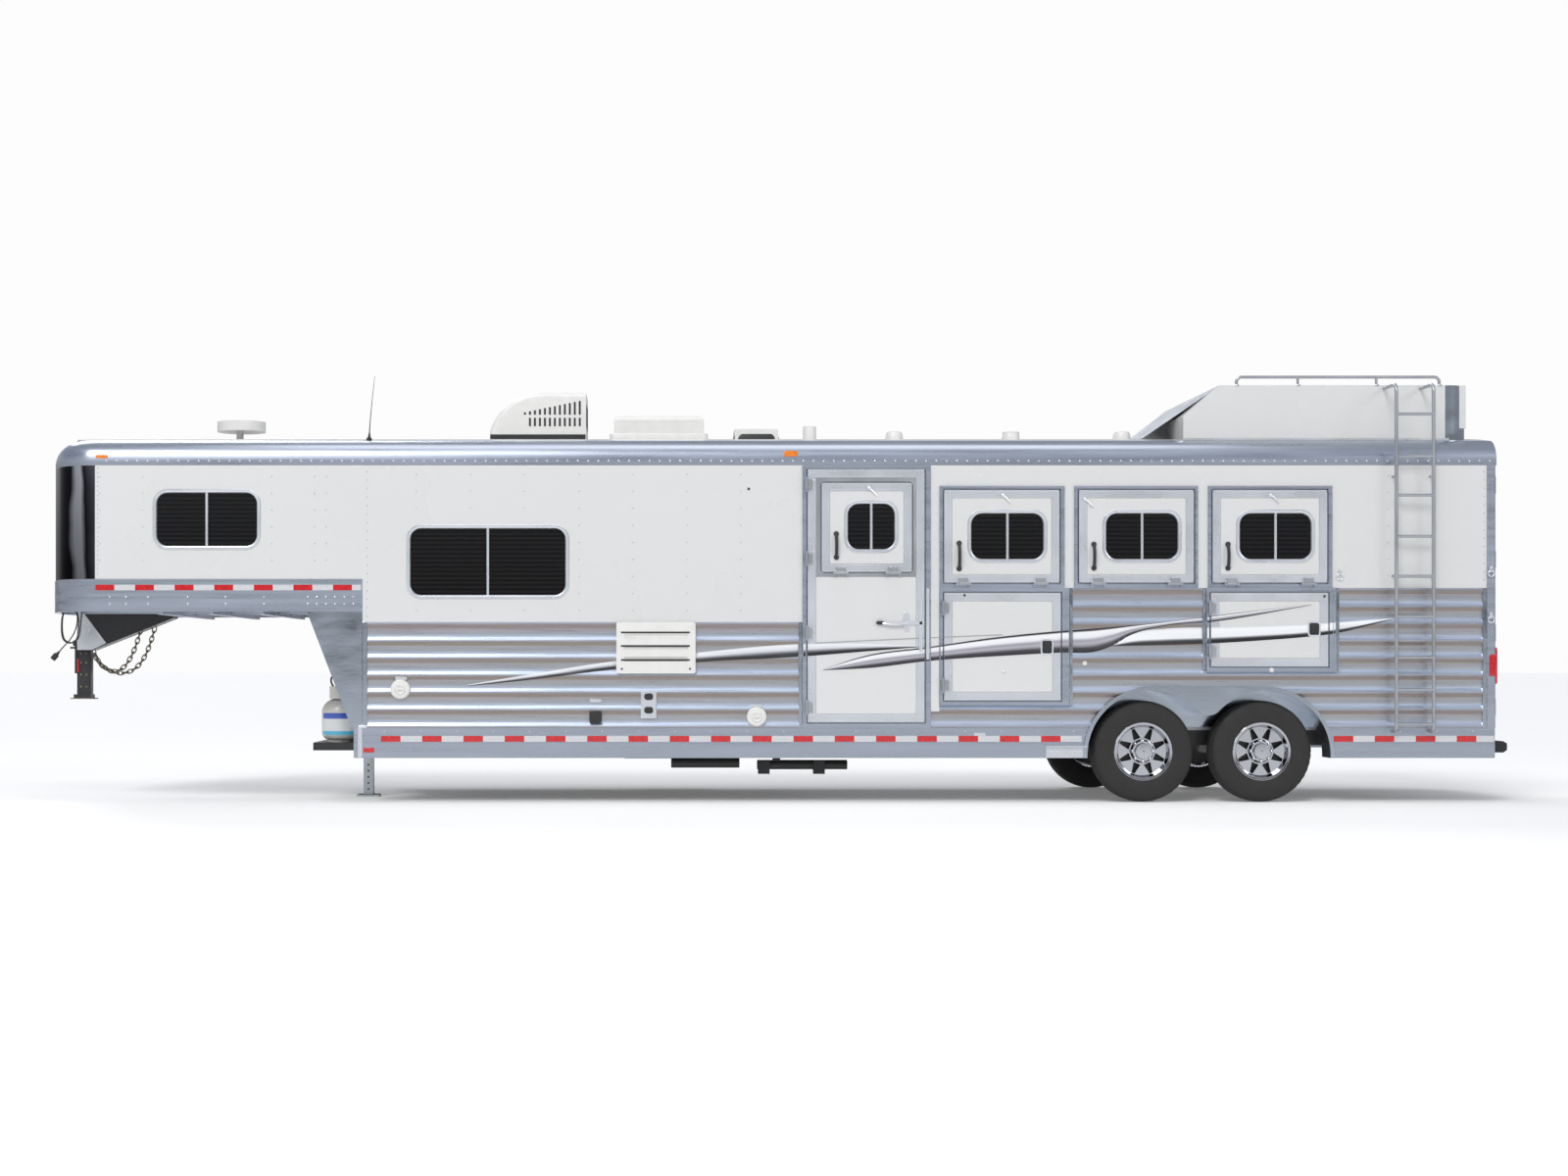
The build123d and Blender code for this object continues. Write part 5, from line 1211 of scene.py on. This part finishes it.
class TRAILER_OT_wheels(bpy.types.Operator):
    """Make the treaded tyres, and fit nuts, caps, bright lips and brake drums."""

    bl_idname = "trailer.wheels"
    bl_label = "Wheels"

    def execute(self, context):
        depth = context.scene.trailer_sizes.tread_depth
        for end, x in WHEEL_X.items():
            for s, hand in ((-1, "left"), (1, "right")):
                body = f"{hand}_{end}_wheel"
                shell = Shell()
                self.tyre(shell, x, s, depth)
                made = piece(f"{hand}_{end}_treaded_tyre", shell, "tyre_rubber", body=body)
                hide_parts(f"{hand}_{end}_tyre")
                self.fittings(x, s, f"{hand}_{end}", body)
        return {"FINISHED"}

    def tyre(self, shell, x, s, depth):
        """The section swept round the axle: grooves lower its tread, by place and by angle."""
        half = np.array(TYRE_SECTION)
        across = np.concatenate([-half[:, 0], half[::-1, 0]])
        radius = np.concatenate([half[:, 1], half[::-1, 1]])
        angle = np.arange(180) * 2 * pi / 180
        a, place = angle[:, None], np.abs(across)[None]
        ribs = ((place > 0.025) & (place < 0.055)) | ((place > 0.41) & (place < 0.45))
        slots = (np.cos(a * 45 + across * 3) > 0.6) & (place > 0.54) & (place < 0.93)
        bars = (np.cos(a * 60) > 0.5) & (place > 0.94) & (radius > 0.33)
        low = radius[None] - depth * ribs - 0.8 * depth * slots - 0.0015 * bars
        d = WHEEL_D + across[None] * TYRE_HALF
        y = s * np.broadcast_to(d, low.shape)
        shell.ring(np.stack([x + low * np.cos(a), y, WHEEL_Z + low * np.sin(a)], -1))

    def fittings(self, x, s, name, body):
        """Turned parts on the axle, and eight six-sided nuts round it."""
        axis = (0, s, 0)
        centre = (x, 0, WHEEL_Z)
        shell = Shell()
        base = WHEEL_D + 0.118
        turned(shell, centre, axis, [(base - 0.006, 0.060), (base - 0.002, 0.058),
                                     (base - 0.002, 0.050), (base - 0.0005, 0.0)], 40)
        lip = WHEEL_D + 0.1057
        ring = [(lip - 0.004, 0.2275), (lip + 0.002, 0.229), (lip + 0.004, 0.226),
                (lip + 0.003, 0.212), (lip - 0.003, 0.209), (lip - 0.006, 0.212)]
        turn = (np.arange(72) * 2 * pi / 72)[None, :]
        along, radius = (np.array(c)[:, None] for c in zip(*ring))
        shell.ring(np.stack([x + radius * np.cos(turn), s * (along + 0 * turn),
                             WHEEL_Z + radius * np.sin(turn)], -1))
        spots = np.arange(8) * pi / 4
        hexagon = np.arange(6) * pi / 3
        out = np.array([0.078, 0.098, 0.108, 0.112])[None, :, None] + WHEEL_D
        size = np.array([0.0135, 0.0135, 0.0115, 0.005])[None, :, None]
        u = x + BOLT_CIRCLE_R * np.cos(spots)[:, None, None] + size * np.cos(hexagon)
        v = WHEEL_Z + BOLT_CIRCLE_R * np.sin(spots)[:, None, None] + size * np.sin(hexagon)
        shell.loft(on_face("left" if s < 0 else "right", u, v, out))
        piece(f"{name}_nuts_and_cap", shell, "polished_wheel", body=body)
        shell = Shell()
        turned(shell, centre, axis, [(WHEEL_D - 0.030, 0.186), (WHEEL_D - 0.002, 0.192),
                                     (WHEEL_D, 0.190), (WHEEL_D + 0.001, 0.105)], 40)
        piece(f"{name}_drum", shell, "black_steel", body=body)


# ------------------------------------------------------------------ on the roof
POD_END, POD_SIDE, POD_TOP, POD_CORNER = 5.589, 1.000, 3.303, 0.168
AERIAL_X, AERIAL_Y = -3.159, -1.02


class TRAILER_OT_roof_kit(bpy.types.Operator):
    """Fit louvres, caps, lids, the aerial, the pod's corners and its wind deflector."""

    bl_idname = "trailer.roof_kit"
    bl_label = "Roof kit"

    def execute(self, context):
        dark = Shell()
        columns = np.arange(12)
        u = -1.965 + 0.041 * columns
        low_row = [(a, a + 0.017, 3.045, 3.045 + 0.070, 0.329, 0.3312) for a in u[1:]]
        high_row = [(a, a + 0.017, 3.140, 3.160 + 0.0085 * k, 0.329, 0.3312)
                    for k, a in zip(columns, u)]
        for face in SIDES:
            blocks(dark, face, low_row + high_row)
            blocks(dark, face, [(-2.243, -1.458, 2.920, 2.978, 0.325, 0.3325)])
        rear = np.linspace(-0.25, 0.25, 12)
        blocks(dark, "rear", [(a - 0.008, a + 0.008, 3.05, 3.24, -1.455, -1.4525) for a in rear])
        piece("air_conditioner_louvres", dark, "black_plastic")
        shell = Shell()
        for face in SIDES:
            blocks(shell, face, [(-1.14, -0.56, 3.085, 3.092, 0.329, 0.3315)])
        plate(shell, "top", (-1.26, -0.45, -0.36, 0.36), 2.925, 2.985, 0.05, 0.010, 6)
        piece("lid_flange", shell, "white_plastic")
        shell = Shell()
        t = np.linspace(0, 1, 12)
        rows = [(0.006 - 0.06 * (1 - np.sqrt(1 - a ** 2)), 2.930 + 0.112 * a) for a in t]
        shell.loft(sheet_stack("top", (-0.230, 0.143, -0.186, 0.186), 0.070, rows, 7))
        piece("dome_vent", shell, "black_plastic")
        shell = Shell()
        turned(shell, (0.408, 0, 0), (0, 0, 1), [(2.94, 0.062), (2.952, 0.060), (2.956, 0.055),
                                                 (3.060, 0.0555), (3.072, 0.05), (3.076, 0.02)],
               32)
        for x in (1.116, 2.092, 3.020):
            turned(shell, (x, 0, 0), (0, 0, 1), [(2.94, 0.086), (2.962, 0.082), (2.968, 0.074),
                                                 (3.010, 0.070), (3.029, 0.058), (3.034, 0.02)],
                   32)
        piece("roof_vent_caps", shell, "white_plastic")
        shell = Shell()
        t = np.linspace(0, 1, 10)
        path = np.stack([AERIAL_X + 0.045 * t ** 1.3, np.full(10, AERIAL_Y), 2.875 + 0.500 * t], -1)
        tube(shell, path, np.interp(t, [0, 0.05, 0.12, 1], [0.014, 0.010, 0.004, 0.0016]),
             (0, 1, 0), 8)
        turned(shell, (AERIAL_X, AERIAL_Y, 0), (0, 0, 1), [(2.845, 0.024), (2.878, 0.022),
                                                      (2.890, 0.012)], 16)
        piece("whip_aerial", shell, "black_plastic")
        self.pod()
        return {"FINISHED"}

    def pod(self):
        """Bright corner sheets bent round the pod's rear, and a sloping sheet ahead of it."""
        shell = Shell()
        turn = np.linspace(0, pi / 2, 13)
        x, y = POD_END - POD_CORNER, POD_SIDE - POD_CORNER
        for s in (-1, 1):
            rings = []
            for radius in (0.1675, 0.1697):
                u = np.concatenate([[x - 0.030], x + radius * np.sin(turn), [x + radius]])
                v = np.concatenate([[y + radius], y + radius * np.cos(turn), [y - 0.030]])
                rings.append(np.stack([u, s * v], -1))
            loop = np.concatenate([rings[0], rings[1][::-1]])
            upright(shell, loop, np.array([2.870, POD_TOP]))
        piece("pod_corners", shell, "polished_trim", sharp=50)
        shell = Shell()
        t = np.linspace(0, 1, 8)[:, None]
        w = np.linspace(-1, 1, 9)[None]
        half = 0.62 + 0.355 * t
        x = 3.060 + (3.598 - 3.060) * t + 0 * w
        crown = 2.938 - 0.02 * w ** 2
        z = crown + (POD_TOP - crown) * t
        upper = np.stack([x, half * w, z], -1)
        shell.loft(np.concatenate([upper, (upper - (0, 0, 0.006))[:, ::-1]], axis=1))
        piece("wind_deflector", shell, "mill_aluminium")
        shell = Shell()
        for face in SIDES:
            blocks(shell, face, [(3.312, 5.42, 2.866, 2.884, 0.999, 1.006)])
        for s in (-1, 1):
            for x in (3.735, 4.223, 4.847, 5.348):
                turned(shell, (x, s * 0.9875, 0), (0, 0, 1), [(POD_TOP, 0.024), (3.308, 0.022),
                                                              (3.314, 0.014)], 16)
        piece("pod_base_strip", shell, "bright_aluminium")


# ------------------------------------------------------------------ front end
JACK_X = -3.244
BOTTLE_X, BOTTLE_Y = -3.490, 0.200
LABEL_R, COLLAR_R = 0.1562, 0.0915   # outer radii of a gas bottle's label and guard collar


class TRAILER_OT_front_end(bpy.types.Operator):
    """Detail the coupler, the gas bottles, the jack and the front corners."""

    bl_idname = "trailer.front_end"
    bl_label = "Front end"

    def execute(self, context):
        shell = Shell()
        for s in (-1, 1):
            y = s * 0.1105
            loop = np.array([(-5.694, 1.556), (-5.672, 1.556), (-5.452, 1.262), (-5.572, 1.206),
                             (-5.694, 1.206)])
            levels = np.array([y - s * 0.001, y + s * 0.003])
            shell.loft(np.stack([np.stack([loop[:, 0], np.full(5, w), loop[:, 1]], -1)
                                 for w in levels]))
        piece("coupler_side_plates", shell, "bright_aluminium")
        shell = Shell()
        blocks(shell, "top", [(-5.7085, -5.676, -0.052, 0.052, 0.845, 1.200)])
        plate(shell, "top", (-5.760, -5.560, -0.090, 0.090), 0.797, 0.806, 0.02, 0.003, 5)
        for z in (0.90, 1.00, 1.10, 1.18):
            domes(shell, "left", [-5.675, -5.630], z, 0.056, 0.010, 0.005, 8)
        piece("coupler_face", shell, "chain_steel")
        shell = Shell()
        t = np.linspace(0, 1, 8)
        tube(shell, np.stack([-5.720 + 0.02 * t, np.full(8, -0.06), 1.245 - 0.17 * t], -1),
             0.008, (0, 1, 0), 8)
        plate(shell, "left", (-5.740, -5.640, 1.235, 1.290), 0.060, 0.082, 0.02, 0.006, 5)
        piece("coupler_lever", shell, "black_steel")
        shell = Shell()
        plate(shell, "left", (-5.705, -5.690, 1.020, 1.130), 0.058, 0.068, 0.005, 0.003)
        piece("coupler_lock", shell, "red_lens")
        self.bottles()
        self.jack()
        shell = Shell()
        for face in SIDES:
            plate(shell, face, (-3.225, -3.188, 0.352, 0.606), 1.10, 1.236, 0.016, 0.006, 6)
            plate(shell, face, (-3.213, -3.150, 0.583, 0.606), 1.16, 1.238, 0.010, 0.006, 6)
        piece("corner_castings", shell, "bright_aluminium")
        return {"FINISHED"}

    def bottles(self):
        """Wrap-round blank labels, a guard collar, a valve and a hose on each bottle."""
        label, collar, brass = Shell(), Shell(), Shell()
        turn, around = np.linspace(-2.6, 0.6, 40), np.linspace(0.5, 2 * pi - 0.5, 30)
        for s in (-1, 1):
            centre = np.array([BOTTLE_X, s * BOTTLE_Y])
            t = np.linspace(0, 1, 12)
            loop = np.concatenate([arc_on_plan(centre, LABEL_R, turn),
                                   arc_on_plan(centre, LABEL_R - 0.0016, turn)[::-1]])
            upright(label, loop, 0.505 + 0.18 * t, np.broadcast_to(t[:, None], (12, len(loop))))
            loop = np.concatenate([arc_on_plan(centre, COLLAR_R, around),
                                   arc_on_plan(centre, COLLAR_R - 0.0035, around)[::-1]])
            upright(collar, loop, np.array([0.800, 0.905]))
            turned(brass, (centre[0], centre[1], 0), (0, 0, 1),
                   [(0.845, 0.018), (0.895, 0.018), (0.900, 0.026), (0.915, 0.026),
                    (0.920, 0.010)], 14)
            hose = rounded([(BOTTLE_X, s * BOTTLE_Y, 0.880), (-3.56, s * BOTTLE_Y, 0.900),
                            (-3.58, s * 0.17, 0.985), (-3.50, s * 0.13, 1.010),
                            (-3.42, s * 0.10, 0.900), (-3.40, s * 0.05, 0.780)])
            tube(brass, hose, 0.008, (0.1, 1, 0.2), 8)
        film = banded_finish("bottle_label", [(0.0, (0.10, 0.52, 0.74)), (0.16, (0.10, 0.52, 0.74)),
                                              (0.20, (0.80, 0.81, 0.82)), (0.72, (0.78, 0.8, 0.8)),
                                              (0.76, (0.06, 0.12, 0.55)), (1.0, (0.05, 0.10, 0.5))])
        piece("bottle_labels", label, film, sharp=50)
        piece("bottle_collars", collar, "bottle_paint", sharp=50)
        piece("bottle_valves", brass, "black_rubber")

    def jack(self):
        """A cap and a crank on the housing, a plate on the foot and holes down the leg."""
        shell = Shell()
        plate(shell, "top", (-3.300, -3.190, -0.356, -0.244), 1.148, 1.164, 0.012, 0.004, 5)
        path = rounded([(JACK_X, -0.350, 1.080), (JACK_X, -0.430, 1.080), (JACK_X, -0.450, 1.075),
                        (JACK_X, -0.455, 0.960), (JACK_X, -0.460, 0.930), (JACK_X, -0.540, 0.925)])
        tube(shell, path, 0.010, (1, 0, 0), 10)
        for v in (0.45, 0.55, 0.65):
            domes(shell, "left", JACK_X, v, 0.350, 0.014, 0.006, 12)
        piece("jack_crank", shell, "grey_paint")
        shell = Shell()
        plate(shell, "top", (-3.335, -3.153, -0.391, -0.209), 0.0145, 0.0175, 0.012, 0.001, 5)
        holes = 0.06 + 0.05 * np.arange(5)
        domes(shell, "left", JACK_X, holes, 0.340, 0.009, 0.0015, 12)
        piece("jack_foot_plate", shell, "black_steel", "jack_leg")


# ------------------------------------------------------------------ small fittings
class TRAILER_OT_fittings(bpy.types.Operator):
    """Fit inlets, outlet boxes, blank plates, tie rings, bumpers and steps; close the gable."""

    bl_idname = "trailer.fittings"
    bl_label = "Small fittings"

    def execute(self, context):
        shell = Shell()
        plate(shell, "left", (-1.405, -1.309, 0.626, 0.720), CREST_D - 0.004, CREST_D + 0.018,
              0.012, 0.005, 5)
        for v in (0.700, 0.806):
            plate(shell, "left", (-0.975, -0.905, v, v + 0.052), CREST_D + 0.006,
                  CREST_D + 0.016, 0.022, 0.004, 6)
        slots = [(-1.158, -0.617, v, v + 0.014, 1.236, 1.2446) for v in (1.329, 1.223, 1.113)]
        blocks(shell, "left", slots)
        for u in (-1.150, -0.616):
            domes(shell, "left", u, 1.050, 1.243, 0.010, 0.002, 12)
        dome_and_speck = np.array([0.012, 0.0001])[:, None, None]
        domes(shell, "left", [-0.154, 0.0], 2.464, WALL_D, dome_and_speck, 0.006)
        domes(shell, "left", [1.540, 4.365], [1.628, 1.620], FRAME_D + 0.001, 0.011, 0.004, 12)
        piece("inlets", shell, "black_plastic")

        shell = Shell()
        plate(shell, "left", (-1.002, -0.880, 0.662, 0.876), CREST_D - 0.006, CREST_D + 0.008,
              0.008, 0.003)
        for u, v in ((-2.885, 0.975), (-0.092, 0.760), (1.66, 0.536), (-1.357, 0.800)):
            plate(shell, "left", (u - 0.045, u + 0.045, v - 0.012, v + 0.012), VALLEY_D,
                  RAIL_D + 0.0008, 0.004, 0.0006)
        piece("blank_plates", shell, "bright_aluminium")

        shell = Shell()
        for u, v in ((-2.891, 0.890), (-0.092, 0.674)):
            turned(shell, (u, 0, v), (0, -1, 0), [(1.220, 0.078), (1.232, 0.076), (1.236, 0.070),
                                                  (1.238, 0.050), (1.248, 0.046), (1.254, 0.038),
                                                  (1.252, 0.028), (1.247, 0.022)], 40)
            plate(shell, "left", (u - 0.036, u + 0.036, v - 0.008, v + 0.008), 1.244, 1.258,
                  0.006, 0.003)
        for u, v, d in ((2.487, 1.093, 1.214), (3.950, 1.040, FRAME_D)):
            domes(shell, "left", u, v, d, 0.020, 0.016, 20)
        piece("round_fittings", shell, "white_plastic")
        shell = Shell()
        domes(shell, "left", 1.848, 1.032, FRAME_D + 0.001, 0.016, 0.012, 20)
        piece("storage_door_front_bumper", shell, "white_plastic", body="storage_door_front")

        shell = Shell()
        for face in SIDES:
            for u, v, d in ((4.489, 1.790, WALL_D), (5.672, 1.817, FRAME_D),
                            (5.672, 1.455, FRAME_D)):
                self.tie_ring(shell, face, u, v, d)
            plate(shell, face, (2.180, 2.495, 0.352, 0.436), RAIL_D - 0.002, RAIL_D + 0.006,
                  0.006, 0.003)
            blocks(shell, face, [(2.175, 2.500, 0.436, 0.446, RAIL_D - 0.002, RAIL_D + 0.026)])
            domes(shell, face, [2.22, 2.27, 2.40, 2.45], 0.394, RAIL_D + 0.006, 0.010, 0.004, 10)
        for s in (-1, 1):
            for v in (1.12, 1.80, 2.40):
                domes(shell, "rear", s * 1.165, v, REAR_D, 0.012, 0.006, 12)
        plate(shell, "rear", (-0.16, 0.16, 2.652, 2.690), REAR_D - 0.002, REAR_D + 0.010,
              0.006, 0.004)
        piece("rings_and_steps", shell, "bright_aluminium")

        shell = Shell()
        turn = np.linspace(0, pi / 2, 10)
        corner = np.stack([1.055 + 0.160 * np.cos(turn), 2.692 + 0.160 * np.sin(turn)], -1)
        y = np.linspace(1.0, -1.0, 15)
        crown = np.stack([y, 2.934 - 0.0745 * y ** 2], -1)
        edge = np.concatenate([[(1.215, 2.640)], corner, crown, corner[::-1] * (-1, 1),
                               [(-1.215, 2.640)]])
        shell.loft(on_face("rear", edge[:, 0], edge[:, 1], np.array([[5.684], [5.702]])))
        piece("rear_gable", shell, "bright_aluminium")
        return {"FINISHED"}

    def tie_ring(self, shell, face, u, v, d):
        """A small plate, and a ring of wire that hangs from it."""
        plate(shell, face, (u - 0.014, u + 0.014, v - 0.010, v + 0.040), d - 0.001, d + 0.006,
              0.010, 0.003, 4)
        a = (np.arange(20) * 2 * pi / 20)[:, None]
        w = (np.arange(8) * 2 * pi / 8)[None]
        radius = 0.024 + 0.0045 * np.cos(w)
        shell.ring(on_face(face, u + radius * np.cos(a), v - 0.018 + radius * np.sin(a),
                           d + 0.010 + 0.0045 * np.sin(w) + 0 * a))


# ------------------------------------------------------------------ sidebar and registration
STEPS = (
    TRAILER_OT_stage, TRAILER_OT_finishes, TRAILER_OT_cord, TRAILER_OT_chains,
    TRAILER_OT_windows, TRAILER_OT_panels, TRAILER_OT_frames, TRAILER_OT_hardware,
    TRAILER_OT_stripes, TRAILER_OT_rivets, TRAILER_OT_reflectors, TRAILER_OT_wheels,
    TRAILER_OT_roof_kit, TRAILER_OT_front_end, TRAILER_OT_fittings,
)


class TRAILER_PT_sidebar(bpy.types.Panel):
    """The trailer's sizes, colours and pieces."""

    bl_idname = "TRAILER_PT_sidebar"
    bl_label = "Horse Trailer"
    bl_space_type = "VIEW_3D"
    bl_region_type = "UI"
    bl_category = "Trailer"

    def draw(self, context):
        for group in (context.scene.trailer_sizes, context.scene.trailer_colours):
            for name in group.__annotations__:
                self.layout.prop(group, name)
        for step in STEPS:
            self.layout.operator(step.bl_idname)


CLASSES = (TrailerSizes, TrailerColours, *STEPS, TRAILER_PT_sidebar)


def register():
    for made in CLASSES:
        bpy.utils.register_class(made)
    bpy.types.Scene.trailer_sizes = bpy.props.PointerProperty(type=TrailerSizes)
    bpy.types.Scene.trailer_colours = bpy.props.PointerProperty(type=TrailerColours)


def unregister():
    del bpy.types.Scene.trailer_colours
    del bpy.types.Scene.trailer_sizes
    for made in reversed(CLASSES):
        bpy.utils.unregister_class(made)


def main():
    """Make every piece in order."""
    register()
    for step in STEPS:
        group, call = step.bl_idname.split(".")
        getattr(getattr(bpy.ops, group), call)()


if __name__ == "__main__":
    main()
